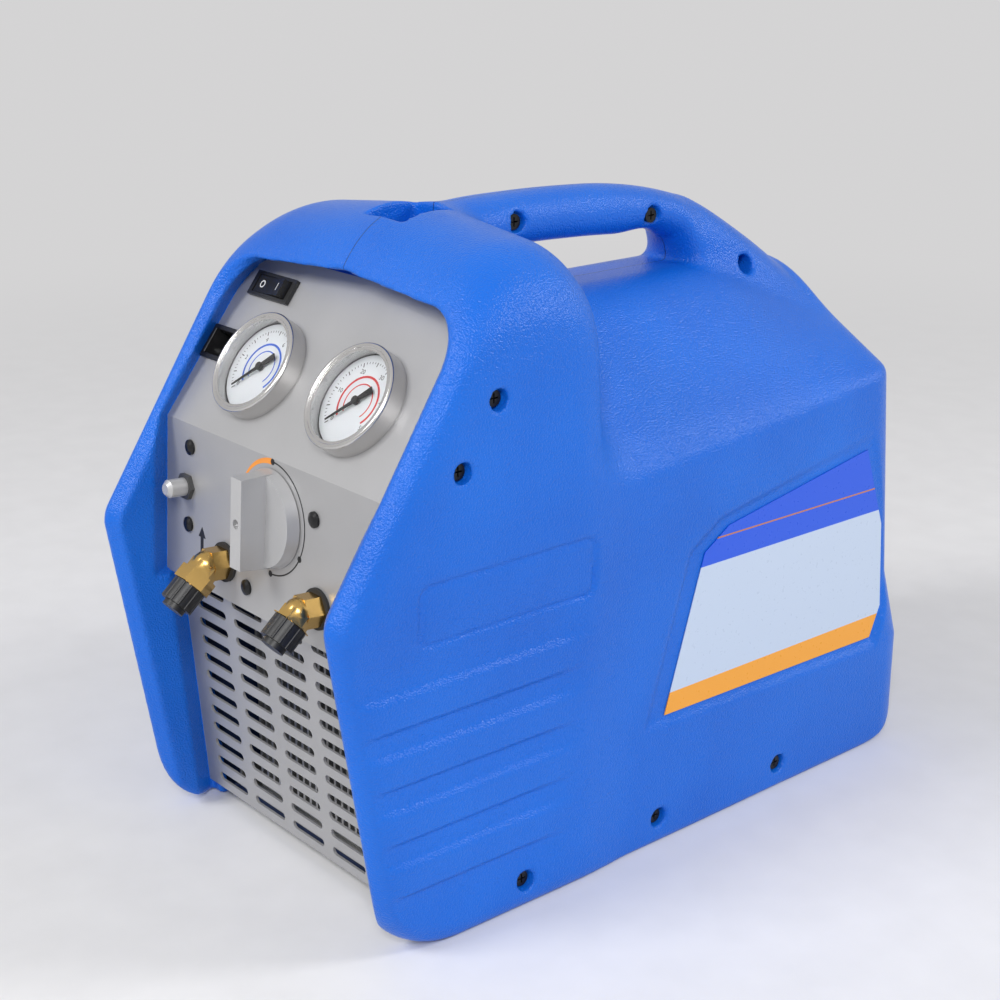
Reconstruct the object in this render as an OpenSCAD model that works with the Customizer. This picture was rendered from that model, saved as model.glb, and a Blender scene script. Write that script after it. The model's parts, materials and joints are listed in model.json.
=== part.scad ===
// Portable refrigerant recovery machine.
// Two moulded half shells clamp a bent control panel, a slotted grille and a steel base.
// Millimetres, +Z up, the control panel faces -Y, origin on the floor under the middle.

/* [Housing] */
// Width across the two shells
body_w = 226; // [222:1:236]
// Length from the wing knees to the back wall
body_l = 439; // [432:1:456]
// Height to the crown of the front arch
body_h = 354; // [350:1:366]
// Wall of the moulded shells
wall = 4; // [3:0.5:4.5]
// Drop of the knee, where the wings reach furthest forward, below the crown
knee_drop = 168; // [162:1:174]
// Lean of the arch above the knee, from vertical
slope_a = 33; // [31:0.5:35]
// Lean of the wings below the knee, from vertical
wing_a = 9; // [7:0.5:11]
// Round of the knee
knee_r = 18; // [14:1:22]
// Round under the front of the wings
toe_r = 38; // [30:1:42]
// Round of the long edges between front and side
edge_r = 15; // [12:1:16]
// Round of the arch corners seen from the front
arch_r = 48; // [42:1:52]
// Fall of the arch crown from the middle, as a slope
crown = 0.115; // [0.08:0.005:0.14]
// Length of the tall front block
block_l = 168; // [162:1:174]
// Drop of the roof ridge below the crown
roof_drop = 54; // [52:1:60]
// Fall of the ridge from under the handle to the back wall
roof_fall = 26; // [20:1:30]
// Half width of the flat ridge
ridge_hw = 30; // [24:1:36]
// Drop of the shoulder, where roof meets side, below the crown
shoulder_drop = 113; // [108:1:118]
// Side draw-in at the back wall, above the bulge
rear_taper = 9; // [7:1:11]
// Side draw-in at the back wall, at the shoulder
roof_taper = 15; // [12:1:17]
// Round of the upright rear corners
rear_r = 26; // [20:1:30]
// Round under the back wall
heel_r = 38; // [30:1:42]
// Lower rim of the back wall bulge
bulge_z = 66; // [62:1:72]
// Set-back of the back wall above the bulge
bulge = 12; // [8:0.5:14]
// Set-back of the back wall at the roof
roof_back = 18; // [15:0.5:22]

/* [Ribs and recesses] */
// Number of grooves across each side
groove_n = 4; // [2:1:4]
// Height of the lowest groove
groove_z = 36; // [34:1:40]
// Depth of the grooves
groove_d = 3; // [2:0.5:4]
// Length of the bare name recess on the side
plate_l = 112; // [100:1:116]
// Height of the bare name recess
plate_h = 31; // [26:1:34]
// Depth of the bare name recess
plate_d = 1.6; // [1:0.2:2.4]
// Depth of the label recess behind the block
label_d = 2.5; // [1.5:0.5:3]
// Side of the pocket in the arch crown
crown_hole = 32; // [26:1:36]
// Depth of the pocket in the arch crown
crown_depth = 24; // [14:1:26]

/* [Handle] */
// Height of the grip section
grip_h = 29; // [26:1:31]
// Width of the grip section
grip_w = 33; // [30:1:36]
// Drop of the grip's top below the crown
grip_drop = 1; // [0.5:0.5:3]
// Length of the finger gap behind the block
gap_l = 150; // [144:1:152]

/* [Panel] */
// Lean of the gauge face, from vertical
panel_a = 37.4; // [36:0.2:39]
// Lean of the control face, from vertical
mid_a = 4.1; // [3:0.1:5]
// Depth of the panel bend behind the knees
panel_back = 43.5; // [42:0.5:46]
// Drop of the panel bend below the crown
bend_drop = 119.5; // [117:0.5:122]
// Length of the gauge face along its slope
slant_l = 104; // [102:1:106]
// Length of the control face along its slope
mid_l = 86; // [84:1:88]
// Thickness of the panel sheet
panel_t = 2; // [1.5:0.5:2.5]
// Half width of the panel sheet
panel_hw = 103.5; // [102.5:0.5:104]
// Half width of the window at the front of the wings
window_hw = 95; // [94:0.5:96]
// Drop of the window's top corners below the crown
window_drop = 36; // [34:1:38]

/* [Grille] */
// Slots in a row
slot_cols = 5; // [3:1:5]
// Rows of slots
slot_rows = 12; // [8:1:12]
// Pitch of slots along a row
slot_px = 37.9; // [36.5:0.1:38.5]
// Length of a slot
slot_l = 29.5; // [26:0.5:31]
// Height of a slot
slot_h = 5; // [4:0.5:6]
// Sheet thickness of both grilles
grille_t = 1.5; // [1:0.5:2]
// Lean of the front grille, foot backwards
grille_a = 4.4; // [4:0.1:4.8]
// Clearance under the front grille
grille_z = 9; // [8:0.5:10]

/* [Gauges] */
// Outer diameter of the gauge bezels
bezel_d = 58; // [54:0.5:60]
// Distance of each gauge from the middle
gauge_x = 42.7; // [41:0.1:44]
// Height of the gauges along the gauge face
gauge_s = 41.5; // [38:0.5:44]
// Height of the bezels above the panel
bezel_h = 11; // [9:0.5:13]

/* [Controls] */
// Diameter of the selector disc at the panel
knob_d = 52; // [48:1:54]
// Height of the selector's bar grip
knob_h = 21; // [18:0.5:24]
// Width of the selector's bar grip
bar_w = 9.5; // [8:0.5:11]
// Distance of the selector below the panel bend
knob_s = 31.4; // [30:0.2:33]
// Width of the rocker switch frame
switch_w = 37; // [35:0.5:39]
// Height of the rocker switch frame
switch_h = 14.4; // [13.6:0.2:16]
// Tilt of the rocker either way
rocker_a = 9; // [6:0.5:10]
// Width of the mains inlet frame
inlet_w = 22; // [21:0.5:23]
// Height of the mains inlet frame
inlet_h = 20; // [19:0.5:22]
// Diameter of the breaker reset button
button_d = 10; // [9:0.5:11]
// Reach of the breaker reset button
button_l = 14; // [11:0.5:15]

/* [Ports] */
// Distance of each port from the middle
port_x = 43; // [41:0.5:45]
// Distance of the ports below the panel bend
port_s = 67; // [65:0.5:69]
// Turn of the elbows below straight out
elbow_a = 45; // [43:1:48]
// Radius of the flare nozzles
nozzle_r = 6; // [5.6:0.1:6.4]
// Length of the screw caps
cap_l = 15; // [14.5:0.5:15.5]
// Length of the hex adapter on the inlet port
adapter_l = 8; // [6:0.5:8.5]

/* [Inside] */
// Radius of the compressor motor
motor_r = 50; // [44:1:54]
// Height of the motor axis
motor_z = 84; // [82:1:90]
// Radius of the fan
fan_r = 56; // [48:1:58]
// Number of fan blades
blade_n = 5; // [4:1:6]
// Thickness of the base plate
base_t = 2; // [1.5:0.5:3]

/* [Hidden] */
$fn = 48;
seg = 5;
far = 600;
// Loose fit, running fit and a hair's gap
clear = 0.3;
run = 0.06;
skin_gap = 0.05;

w2 = body_w / 2;
front_y = -body_l / 2;
rear_y = body_l / 2;
knee_z = body_h - knee_drop;
knee_y = front_y - knee_r * ((sin(slope_a) + sin(wing_a)) / sin(slope_a + wing_a) - 1);
toe_y = knee_y + knee_z * tan(wing_a);
block_y = front_y + block_l;
valley_l = 6;
crest_r = 60;
brow_r = 38;
valley_r = 30;
eave_r = 24;
bulge_r = 40;
bulge_rise = 44;
roof_z = body_h - roof_drop;
shoulder_z = body_h - shoulder_drop;
shoulder_x = w2 - 21;
shoulder_r = 28;
ridge_soft = 16;
roof_break_y = block_y + gap_l + 14;
roof_end_y = rear_y - roof_back;

// Draw-in of the side behind the block
neck_y = block_y + 20;
neck_d = 3.5;
foot_taper = 7;
neck_r = 40;
plan_gap = 1;
side_x = w2 - neck_d;
side_turn = atan((rear_taper - neck_d) / (rear_y - neck_y));
bulge_top = bulge_z + bulge_rise;
label_lean = atan((roof_taper - rear_taper) / 2 / (shoulder_z - bulge_top));

plate_z = knee_z - 21;
plate_y = block_y - 6 - plate_l;
plate_r = 6;
groove_up = 17;
groove_down = 11;
groove_gap = 36;
groove_pitch = (plate_z - groove_gap - groove_z) / (groove_n - 1);
groove_fade = 34;
groove_step = 0.18;
groove_ease = 0.45;
crown_y = front_y + 132;
crown_r = 8;

bend_y = front_y + panel_back;
bend_z = body_h - bend_drop;
mid_y = bend_y - mid_l * sin(mid_a);
mid_z = bend_z - mid_l * cos(mid_a);
lip_l = 13;
lip_z = mid_z - panel_t;
grille_in = 4;
grille_y = mid_y + lip_l - grille_in + (lip_z - grille_z) * tan(grille_a);
grille_l = (lip_z - grille_z) / cos(grille_a) - clear;
slot_edge = 8;
slot_pz = (grille_l - 2 * slot_edge) / (slot_rows - 1);
ledge = 6;
ledge_hw = panel_hw - 6.5;
pocket = 11;
pocket_hw = panel_hw + clear;
window_z = body_h - window_drop;
window_rise = 6;
window_r = 25;
window_peak_r = 8;
seat_l = pocket * tan((panel_a - mid_a) / 2);

screw_r = 4.2;
screw_head = 2.4;
screw_slot = 0.9;
screw_slot_d = 1.6;
screw_l = 4;
screw_well_r = 5.6;
screw_well_d = 7;
boss_r = 8.5;
boss_l = 13;
grip_well_x = grip_w / 2 + 2;
// Side, foot and handle screws, as run behind the knees or the block and drop below the crown
side_screws = [[98, 74.6], [75.9, 106.4]];
foot_screws = [116.5, 217.5, 317.5];
foot_screw_z = 15;
handle_screws = [[23.2, 15], [125.1, 23], [189, 57]];
panel_screws_at = [[-79, 12.5], [-80, 56], [38, 22], [-21.7, 75]];

case_r = bezel_d / 2 - 3;
case_l = 22;
gauge_stem_r = 5.5;
gauge_stem_l = 12;
dial_t = 0.8;
dial_z = 2.4;
dial_gap = 0.4;
bezel_round = 1.5;
bezel_lip = 1.2;
needle_z = 4;
needle_t = 0.6;
needle_hub_r = 2.2;
needle_hub_h = 2;
needle_short = 6;
needle_a = 225;
lens_z = 7.4;
lens_t = 1.6;
pin_r = 0.8;
pin_l = 4;

stem_r = 4;
stem_in = 18;
valve_r = 24;
valve_l = 30;
knob_disc_h = 6.5;
knob_gap = 0.5;
knob_draft = 1.5;
knob_screw_d = 5;
knob_screw_r = 2.5;
switch_x = -71.7;
switch_s = 85.5;
switch_lip = 2.4;
switch_rim = 1.6;
switch_edge = 1.1;
switch_depth = 20;
switch_well = 9;
rocker_hw = switch_w / 2 - 4.2;
rocker_hh = switch_h / 2 - 2.2;
rocker_end = 5.2;
rocker_mid = 3.4;
rocker_low = 2;
pivot_r = 1.2;
pivot_z = -1;
pivot_l = switch_h - 2.9;
inlet_x = -91.4;
inlet_s = 47;
inlet_lip = 2;
inlet_rim = 1.6;
inlet_wall = 1.2;
inlet_floor = 3;
inlet_depth = 15;
inlet_pin = [4, 2, 11];
inlet_pin_in = 5;
inlet_pins_at = [[-4.5, -2.5], [4.5, -2.5], [0, 3]];
breaker_x = -82;
breaker_s = 35;
breaker_l = 26;
breaker_rim = 2.6;
breaker_neck = 1.1;
breaker_can = 5;
button_in = 10;
button_travel = 6;
button_tip = 2;

washer_t = 1.6;
washer_rim = 1.6;
hex_r = 9.2;
elbow_h = 11.5;
leg_l = 6;
leg_in = 0.6;
ball_in = 1.2;
adapter_rim = 1.4;
outlet_l = 0.5;
cap_r = 9.4;
cap_top = 3;
cap_floor = 5;
cap_ribs = 12;
cap_rib_r = 0.9;
nozzle_l = cap_l - cap_floor;
shank_r = 6.5;
shank_l = 16;
nut_l = 6;

base_y0 = grille_y + 14;
base_y1 = rear_y - wall - heel_r - 4;
base_hw = w2 - wall - rear_taper - 7;
base_z = wall;
base_top = base_z + base_t;
flange_h = 9;
coil_y = grille_y + 22;
coil_t = 30;
coil_hw = 82;
coil_h = lip_z - base_top - 22.7;
coil_end = 4;
coil_tubes = 5;
tube_r = 4.8;
tube_z = 16;
tube_pitch = (coil_h - 2 * tube_z - 2) / (coil_tubes - 1);
fin_n = 27;
fin_t = 2;
foot_h = 20;
foot_r = 9;
foot_x = 34;
crank_y = front_y + 141.5;
crank_l = 56;
crank_hw = 40;
crank_hh = 46;
bed_hw = 44;
bed_in = 6;
bed_share = 0.7;
motor_y = crank_y + crank_l;
motor_l = 92;
motor_bed_y = motor_y + 20;
motor_bed_l = 54;
motor_ribs = 16;
motor_rib = [4, 2, 8];
barrel_r = 27;
barrel_h = 44;
barrel_y = crank_y + crank_l / 2;
barrel_fins = 5;
barrel_fin_t = 3;
barrel_fin_d = 4;
head_h = 14;
crank_top = motor_z + crank_hh;
head_z = crank_top + barrel_h;
fan_y = rear_y - 43.5;
fan_z = 100;
hub_r = 15;
hub_l = 16;
blade_t = 1.8;
blade_a = 28;
blade_root = 6;
blade_w = 14;
fan_motor_y = fan_y - 10;
fan_motor_r = 20;
fan_motor_l = 34;
fan_shaft_r = 3;
fan_shaft_l = 20;
bracket_hw = 26;
bracket_t = 2;
bracket_foot = 34;
vent_hw = 62;
vent_hh = 62;
vent_slots = 4;
vent_pitch = 12;
vent_slot_h = 6;
can_r = 17;
can_h = 74;
can_x = 72;
can_y = front_y + 265.5;
clip_t = 1.5;
clip_h = 12;
clip_z = 30;
switch_stem_r = 3.4;
switch_stem_l = 6;
switch_can_r = 11;
switch_can_h = 20;
pipe_r = 4;
tube_bore_r = 1.6;

// Points of an arc that rounds corner c between neighbours p and n
function corner_arc(p, c, n, r) =
    let (u = (p - c) / norm(p - c), v = (n - c) / norm(n - c),
         half = acos(u * v) / 2,
         t = min(r / tan(half), 0.48 * min(norm(p - c), norm(n - c))),
         rr = t * tan(half),
         m = c + (u + v) / norm(u + v) * rr / sin(half),
         a = c + u * t - m, b = c + v * t - m,
         a0 = atan2(a[1], a[0]),
         turn = atan2(a[0] * b[1] - a[1] * b[0], a * b))
    [for (i = [0 : seg]) m + rr * [cos(a0 + turn * i / seg), sin(a0 + turn * i / seg)]];

// Outline with every corner rounded to its own radius
function rounded(pts, radii) =
    let (k = len(pts))
    [for (i = [0 : k - 1]) each corner_arc(pts[(i + k - 1) % k], pts[i], pts[(i + 1) % k], radii[i])];

// Meeting point of two lines, each given by a point and a direction
function meet(p, d, q, e) = p + d * ((q - p) * [e[1], -e[0]]) / (d * [e[1], -e[0]]);

// Outline whose edges move inwards, each by its own amount
function inset(pts, by) =
    let (k = len(pts),
         dir = [for (i = [0 : k - 1]) (pts[(i + 1) % k] - pts[i]) / norm(pts[(i + 1) % k] - pts[i])],
         base = [for (i = [0 : k - 1]) pts[i] + by[i] * [dir[i][1], -dir[i][0]]])
    [for (i = [0 : k - 1]) meet(base[(i + k - 1) % k], dir[(i + k - 1) % k], base[i], dir[i])];

// Height of the arch over the distance x from the middle
arch_lean = sqrt(1 + crown * crown);
arch_xc = w2 - arch_r;
arch_zc = body_h - crown * arch_xc - arch_r * arch_lean;
function arch_top(x) = x < arch_xc + arch_r * crown / arch_lean ? body_h - crown * x
    : arch_zc + sqrt(max(arch_r * arch_r - (x - arch_xc) * (x - arch_xc), 0));

// Bend that starts softly, b before and after zero
function soft_bend(d, b) = d < -b ? 0 : d > b ? d : (d + b) * (d + b) / (4 * b);

// Height of the roof at x for a given ridge height
function roof_at(x, ridge) =
    let (fall = (ridge - shoulder_z) / (shoulder_x - ridge_hw), d = max(x - shoulder_x, 0))
    ridge - fall * soft_bend(x - ridge_hw, ridge_soft) - (shoulder_r - sqrt(shoulder_r * shoulder_r - d * d));

// Draw-in of an edge of radius r at x, near the side face
function round_in(x, r) =
    let (d = max(x - (w2 - r), 0))
    r - sqrt(max(r * r - d * d, 0));

// Side outline of the housing at x, moved inwards by g
function outline(x, g) =
    let (top = arch_top(x), soft = round_in(x, edge_r), low = round_in(x, edge_r / 3),
         pts = [[rear_y, 0], [toe_y, 0], [knee_y, knee_z],
                [knee_y + (top - knee_z) * tan(slope_a), top], [block_y, top],
                [block_y + valley_l, roof_at(x, roof_z)], [roof_break_y, roof_at(x, roof_z)],
                [roof_end_y, roof_at(x, roof_z - roof_fall)],
                [rear_y - bulge, bulge_z + bulge_rise], [rear_y, bulge_z]],
         by = [low + g, soft + g, soft + g, g, soft + g, g, g, g, g, g],
         radii = [heel_r, toe_r - soft, knee_r - g, crest_r, brow_r, valley_r, crest_r, eave_r, bulge_r,
             bulge_r])
    rounded(inset(pts, by), radii);

// Closed skin through rings of points
module skin(rings) {
    k = len(rings[0]);
    last = len(rings) - 1;
    walls = [for (s = [0 : last - 1], i = [0 : k - 1], t = [0, 1])
        let (j = (i + 1) % k)
        t == 0 ? [s * k + i, s * k + j, (s + 1) * k + j] : [s * k + i, (s + 1) * k + j, (s + 1) * k + i]];
    ends = [[for (i = [k - 1 : -1 : 0]) i], [for (i = [0 : k - 1]) last * k + i]];
    polyhedron([for (r = rings) each r], concat(walls, ends), convexity = 8);
}

// Half housing block, from the seam out to the side
module side_loft(stations, g) {
    skin([for (x = stations) [for (p = outline(x, g)) [x, p[0], p[1]]]]);
}

// Set-back of the back wall at height z above the bulge
function wall_back(z) = bulge + (roof_back - bulge) * (z - bulge_top) / (roof_z - roof_fall - bulge_top);

// Plan of one half at a level: draw-in and set-back at the back wall, moved inwards by g
function plan_ring(z, taper, back, g) =
    let (end = rear_y - back + plan_gap - g,
         pts = [[-wall, front_y - wall], [w2 - g, front_y - wall], [w2 - g, block_y - 2 * wall],
             [side_x - g, neck_y], [w2 - taper - g, end], [-wall, end]])
    [for (p = rounded(pts, [1, 1, neck_r, neck_r, rear_r - g, 1])) [p[0], p[1], z]];

// Upright limit of one half, with the drawn-in rear body and round rear corners
module plan_half(g) {
    top = body_h + wall;
    skin([plan_ring(top, roof_taper, wall_back(top), g),
        plan_ring(shoulder_z, roof_taper, wall_back(shoulder_z), g),
        plan_ring(bulge_top, rear_taper, bulge, g),
        plan_ring(bulge_z, foot_taper, 0, g),
        plan_ring(-wall, foot_taper, 0, g)]);
}

// Grip and its flared rear root: run behind the block, drops of top and underside, extra half width
grip_rings = [
    [-40.5, 6, 6, 8],
    [-6.5, 1, 1, 4],
    [33.5, 0, 0, 1],
    [69.5, 1, 1, 0],
    [103.5, 3.5, 3, 0],
    [gap_l - 8.5, 10.5, 7, 1],
    [gap_l - 0.5, 12.7, 13, 2],
    [gap_l + 5.5, 14.4, 29, 4],
    [gap_l + 11.5, 16, 49, 6],
    [172.5, 21, 63, 9.5],
    [193.5, 33.5, 74, 15.5],
    [226.5, 57, 89, 22],
    [241, 70, 94, 24],
    [247.5, 98, 104, 24]];
grip_top = body_h - grip_drop;
grip_sides = 20;
module grip() {
    skin([for (r = grip_rings) [for (i = [0 : grip_sides - 1])
        let (a = 360 * i / grip_sides, top = grip_top - r[1], low = grip_top - grip_h - r[2])
        [(grip_w / 2 + r[3]) * cos(a), block_y + r[0], (top + low) / 2 + (top - low) / 2 * sin(a)]]]);
}

// Frames whose local Z points out of a panel face and local Y runs up it
module on_slant(x, s) {
    translate([x, bend_y + s * sin(panel_a), bend_z + s * cos(panel_a)])
        rotate([90 - panel_a, 0, 0]) children();
}
module on_mid(x, s) {
    translate([x, bend_y - s * sin(mid_a), bend_z - s * cos(mid_a)]) rotate([90 - mid_a, 0, 0]) children();
}
module on_grille(x, s) {
    translate([x, grille_y - s * sin(grille_a), grille_z + s * cos(grille_a)])
        rotate([90 + grille_a, 0, 0]) children();
}
module slab(hw, s0, s1, z0, z1) {
    translate([-hw, s0, z0]) cube([2 * hw, s1 - s0, z1 - z0]);
}

// Hole through the sheet, round about the local origin
module drill(r) {
    cylinder(3 * wall, r = r, center = true);
}

// Front outline of the window between the wings
module window_outline(grow) {
    hw = window_hw + grow;
    translate([0, -far / 2, 0]) rotate([-90, 0, 0]) linear_extrude(far) scale([1, -1])
        polygon(rounded([[-hw, -wall], [hw, -wall], [hw, window_z + grow], [0, window_z + window_rise + grow],
            [-hw, window_z + grow]], [1, 1, window_r + grow, window_peak_r, window_r + grow]));
}

// Space in front of the panel and grille
module window_space() {
    intersection() {
        window_outline(0);
        union() {
            on_slant(0, 0) slab(far, -ledge, slant_l + far, -panel_t, far);
            on_mid(0, 0) slab(far, -mid_l - 4 * ledge, ledge, -panel_t, far);
            on_grille(0, 0) slab(far, -grille_z - wall, grille_l + 2 * panel_t, -grille_t, far);
        }
    }
}

// Wider seat that takes the edges of the panel and the grille
module panel_seat() {
    intersection() {
        window_outline(pocket_hw - window_hw);
        union() {
            on_slant(0, 0) slab(pocket_hw, -seat_l, slant_l + clear, -panel_t, pocket);
            on_mid(0, 0) slab(pocket_hw, -mid_l - panel_t, seat_l, -panel_t, pocket);
            on_grille(0, 0) slab(pocket_hw, 0, grille_l + panel_t, -grille_t, pocket);
            translate([-pocket_hw, mid_y, lip_z]) cube([2 * pocket_hw, lip_l + clear, panel_t]);
        }
    }
}

// Hollow behind the panel, with a ledge left round its edge
hollow_stations = [-wall, 14, 30, 46, w2 - 53, w2 - 33, w2 - 18, w2 - 9, w2 - wall];
module inner_space() {
    difference() {
        intersection() {
            side_loft(hollow_stations, wall);
            plan_half(wall);
        }
        on_slant(0, 0) slab(far, -far, far, -panel_t - ledge, far);
        on_mid(0, 0) slab(far, -far, far, -panel_t - ledge, far);
        on_grille(0, 0) slab(far, -far, grille_l + 2 * ledge, -grille_t - ledge, far);
        screw_bosses();
        label_pad();
        crown_cup();
    }
    on_slant(0, 0) slab(ledge_hw, -ledge, slant_l - ledge, -panel_t - 2 * ledge, 0);
    on_mid(0, 0) slab(ledge_hw, -mid_l - 2 * ledge, ledge, -panel_t - 2 * ledge, 0);
    on_grille(0, 0) slab(ledge_hw, ledge, grille_l + ledge, -grille_t - 2 * ledge, 0);
}

// Groove across the side: steep below, long and shallow above, its depth run out to nothing at the back
module groove(z) {
    stop = block_y - 20 + (z - groove_z) * groove_step;
    cuts = [[front_y - wall, groove_d], [stop - groove_fade, groove_d],
        [stop - groove_fade / 2, groove_d * groove_ease],        [stop, skin_gap]];
    module slice(c) {
        translate([w2, c[0], z]) rotate([90, 0, 0]) linear_extrude(skin_gap)
            polygon([[-c[1], 0], [0, -groove_down], [wall, -groove_down], [wall, groove_up], [0, groove_up]]);
    }
    for (i = [0 : len(cuts) - 2]) hull() {
        slice(cuts[i]);
        slice(cuts[i + 1]);
    }
}

// Bare recess where a name plate would be moulded
module plate_recess() {
    translate([w2 - plate_d, plate_y, plate_z]) rotate([90, 0, 90]) linear_extrude(wall)
        offset(plate_r) offset(-plate_r) square([plate_l, plate_h]);
}

// Slanted recess for the plain label on the drawn-in side: run behind the neck and drop below the shoulder
label_pts = [[19, 167], [215, 172], [226, 149], [223, 89], [207, 41], [75, 61], [51, 75]];
label_r = [4, 14, 8, 30, 10, 10, 6];
label_edge = [3, 3, 4, 6, 6, 8, 12];
label_t = 0.4;
function label_outline() = [for (p = label_pts) [p[0], shoulder_z - p[1]]];
module on_label() {
    translate([side_x, neck_y, bulge_top]) rotate([0, -label_lean, side_turn])
        translate([-label_d, 0, -bulge_top]) rotate([90, 0, 90]) children();
}
module label_recess() {
    on_label() linear_extrude(wall + label_d) polygon(rounded(label_outline(), label_r));
}

// Pad on the inside that backs the label recess
module label_pad() {
    on_label() translate([0, 0, -wall / 2]) linear_extrude(wall) polygon(rounded(label_outline(), label_r));
}

function side_at(y) = y < block_y ? w2 : side_x;

// Places of the shell screws, local Z out of the right-hand side
module at_side_screws() {
    for (p = side_screws) translate([w2, front_y + p[0], body_h - p[1]]) rotate([0, 90, 0]) children();
    for (l = foot_screws) translate([side_at(front_y + l), front_y + l, foot_screw_z])
        rotate([0, 90, 0]) children();
}
module at_handle_screws() {
    for (p = handle_screws) translate([grip_well_x, block_y + p[0], body_h - p[1]])
        rotate([0, 90, 0]) children();
}
module screw_bosses() {
    at_side_screws() translate([0, 0, -boss_l]) cylinder(boss_l, r = boss_r);
}
module screw_well() {
    translate([0, 0, -screw_well_d]) cylinder(far / 8, r = screw_well_r, $fn = 20);
    translate([0, 0, -screw_well_d - screw_l - clear]) cylinder(boss_l, r = screw_r / 2 + clear, $fn = 12);
}

// Blind pocket in the arch crown, on the seam, and the cup that closes it below
module crown_pocket() {
    translate([0, crown_y, body_h - crown_depth]) linear_extrude(far)
        offset(crown_r) offset(-crown_r) square([crown_hole, crown_hole], center = true);
}
module crown_cup() {
    side = crown_hole + 2 * wall;
    translate([-side / 2, crown_y - side / 2, body_h - crown_depth - wall]) cube([side, side, far]);
}

module rear_opening() {
    translate([-vent_hw, fan_y, fan_z - vent_hh]) cube([2 * vent_hw, far, 2 * vent_hh]);
}

shell_stations = [-wall, 14, 22, 30, 38, 46, w2 - 48, w2 - 35, w2 - 25, w2 - 18, w2 - 13, w2 - 9, w2 - 5.5,
    w2 - 3, w2 - 1, w2];
module half_shell() {
    difference() {
        union() {
            intersection() {
                side_loft(shell_stations, 0);
                plan_half(0);
            }
            grip();
        }
        inner_space();
        window_space();
        panel_seat();
        for (i = [0 : groove_n - 1]) groove(groove_z + i * groove_pitch);
        plate_recess();
        label_recess();
        at_side_screws() screw_well();
        at_handle_screws() screw_well();
        crown_pocket();
        rear_opening();
        translate([-far, -far, -far]) cube([far, 2 * far, 2 * far]);
    }
}

module right_shell() { color("royalblue") half_shell(); }
module left_shell() {
    color("royalblue") difference() {
        mirror([1, 0, 0]) half_shell();
        on_slant(inlet_x, inlet_s) slab(inlet_w / 2, -inlet_h / 2, inlet_h / 2, -inlet_depth - wall, 0);
    }
}

// Pan-head screw with a cross slot, at the floor of its well
module side_screw() {
    translate([0, 0, -screw_well_d]) difference() {
        union() {
            cylinder(screw_head, r = screw_r);
            translate([0, 0, -screw_l]) cylinder(screw_l, r = screw_r / 2);
        }
        for (a = [0, 90]) rotate([0, 0, a]) translate([0, 0, screw_head])
            cube([screw_slot, screw_r + screw_slot, 2 * screw_slot_d], center = true);
    }
}
module shell_screws() {
    color("black") for (m = [0, 1]) mirror([m, 0, 0]) {
        at_side_screws() side_screw();
        at_handle_screws() side_screw();
    }
}

// Side profile of the bent panel: front face, folded lower lip, back face
mid_dir = [sin(mid_a), cos(mid_a)];
slant_dir = [sin(panel_a), cos(panel_a)];
bend = [bend_y, bend_z];
mid_back = bend + panel_t * [cos(mid_a), -sin(mid_a)];
slant_back = bend + panel_t * [cos(panel_a), -sin(panel_a)];
panel_profile = [bend + slant_l * slant_dir, bend, meet(bend, mid_dir, [0, lip_z], [1, 0]),
    [mid_y + lip_l, lip_z], [mid_y + lip_l, mid_z], meet(mid_back, mid_dir, [0, mid_z], [1, 0]),
    meet(mid_back, mid_dir, slant_back, slant_dir), slant_back + slant_l * slant_dir];

// Bent control panel with its cut-outs and round upper corners
module control_panel() {
    color("silver") difference() {
        intersection() {
            translate([-panel_hw, 0, 0]) rotate([90, 0, 90])
                linear_extrude(2 * panel_hw) polygon(panel_profile);
            window_outline(panel_hw - window_hw);
        }
        for (m = [-1, 1]) on_slant(m * gauge_x, gauge_s) drill(case_r + skin_gap);
        on_slant(switch_x, switch_s)
            slab(switch_w / 2 - switch_rim + skin_gap, switch_edge - switch_h / 2 - skin_gap,
                switch_h / 2 - switch_edge + skin_gap, -wall, wall);
        on_slant(inlet_x, inlet_s)
            slab(inlet_w / 2 - inlet_rim + skin_gap, inlet_rim - inlet_h / 2 - skin_gap,
                inlet_h / 2 - inlet_rim + skin_gap, -wall, wall);
        on_mid(0, knob_s) drill(stem_r + knob_gap);
        on_mid(breaker_x, breaker_s) drill(button_d / 2 + breaker_neck + skin_gap);
        for (m = [-1, 1]) on_mid(m * port_x, port_s) drill(shank_r + skin_gap);
        for (p = panel_screws_at) on_mid(p[0], p[1]) drill(screw_r / 2 + skin_gap);
    }
}

module slot2d(l, h) {
    square([l - h, h], center = true);
    for (m = [-1, 1]) translate([m * (l - h) / 2, 0]) circle(h / 2, $fn = 24);
}

// Slotted sheet in front of the condenser
module front_grille() {
    color("gainsboro") on_grille(0, 0) translate([0, 0, -grille_t]) linear_extrude(grille_t) difference() {
        translate([-panel_hw, 0]) square([2 * panel_hw, grille_l]);
        for (i = [0 : slot_cols - 1], j = [0 : slot_rows - 1])
            translate([(i - (slot_cols - 1) / 2) * slot_px, slot_edge + j * slot_pz]) slot2d(slot_l, slot_h);
    }
}

// Slotted sheet behind the air outlet in the back wall
rear_grille_y = rear_y - bulge - wall - grille_t;
module rear_grille() {
    color("dimgray") translate([0, rear_grille_y + grille_t, fan_z]) rotate([90, 0, 0])
        linear_extrude(grille_t)
        difference() {
            square([2 * vent_hw, 2 * vent_hh], center = true);
            for (m = [-1, 1], j = [-vent_slots : vent_slots])
                translate([m * vent_hw / 2, j * vent_pitch]) slot2d(vent_hw - vent_pitch, vent_slot_h);
        }
}

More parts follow.
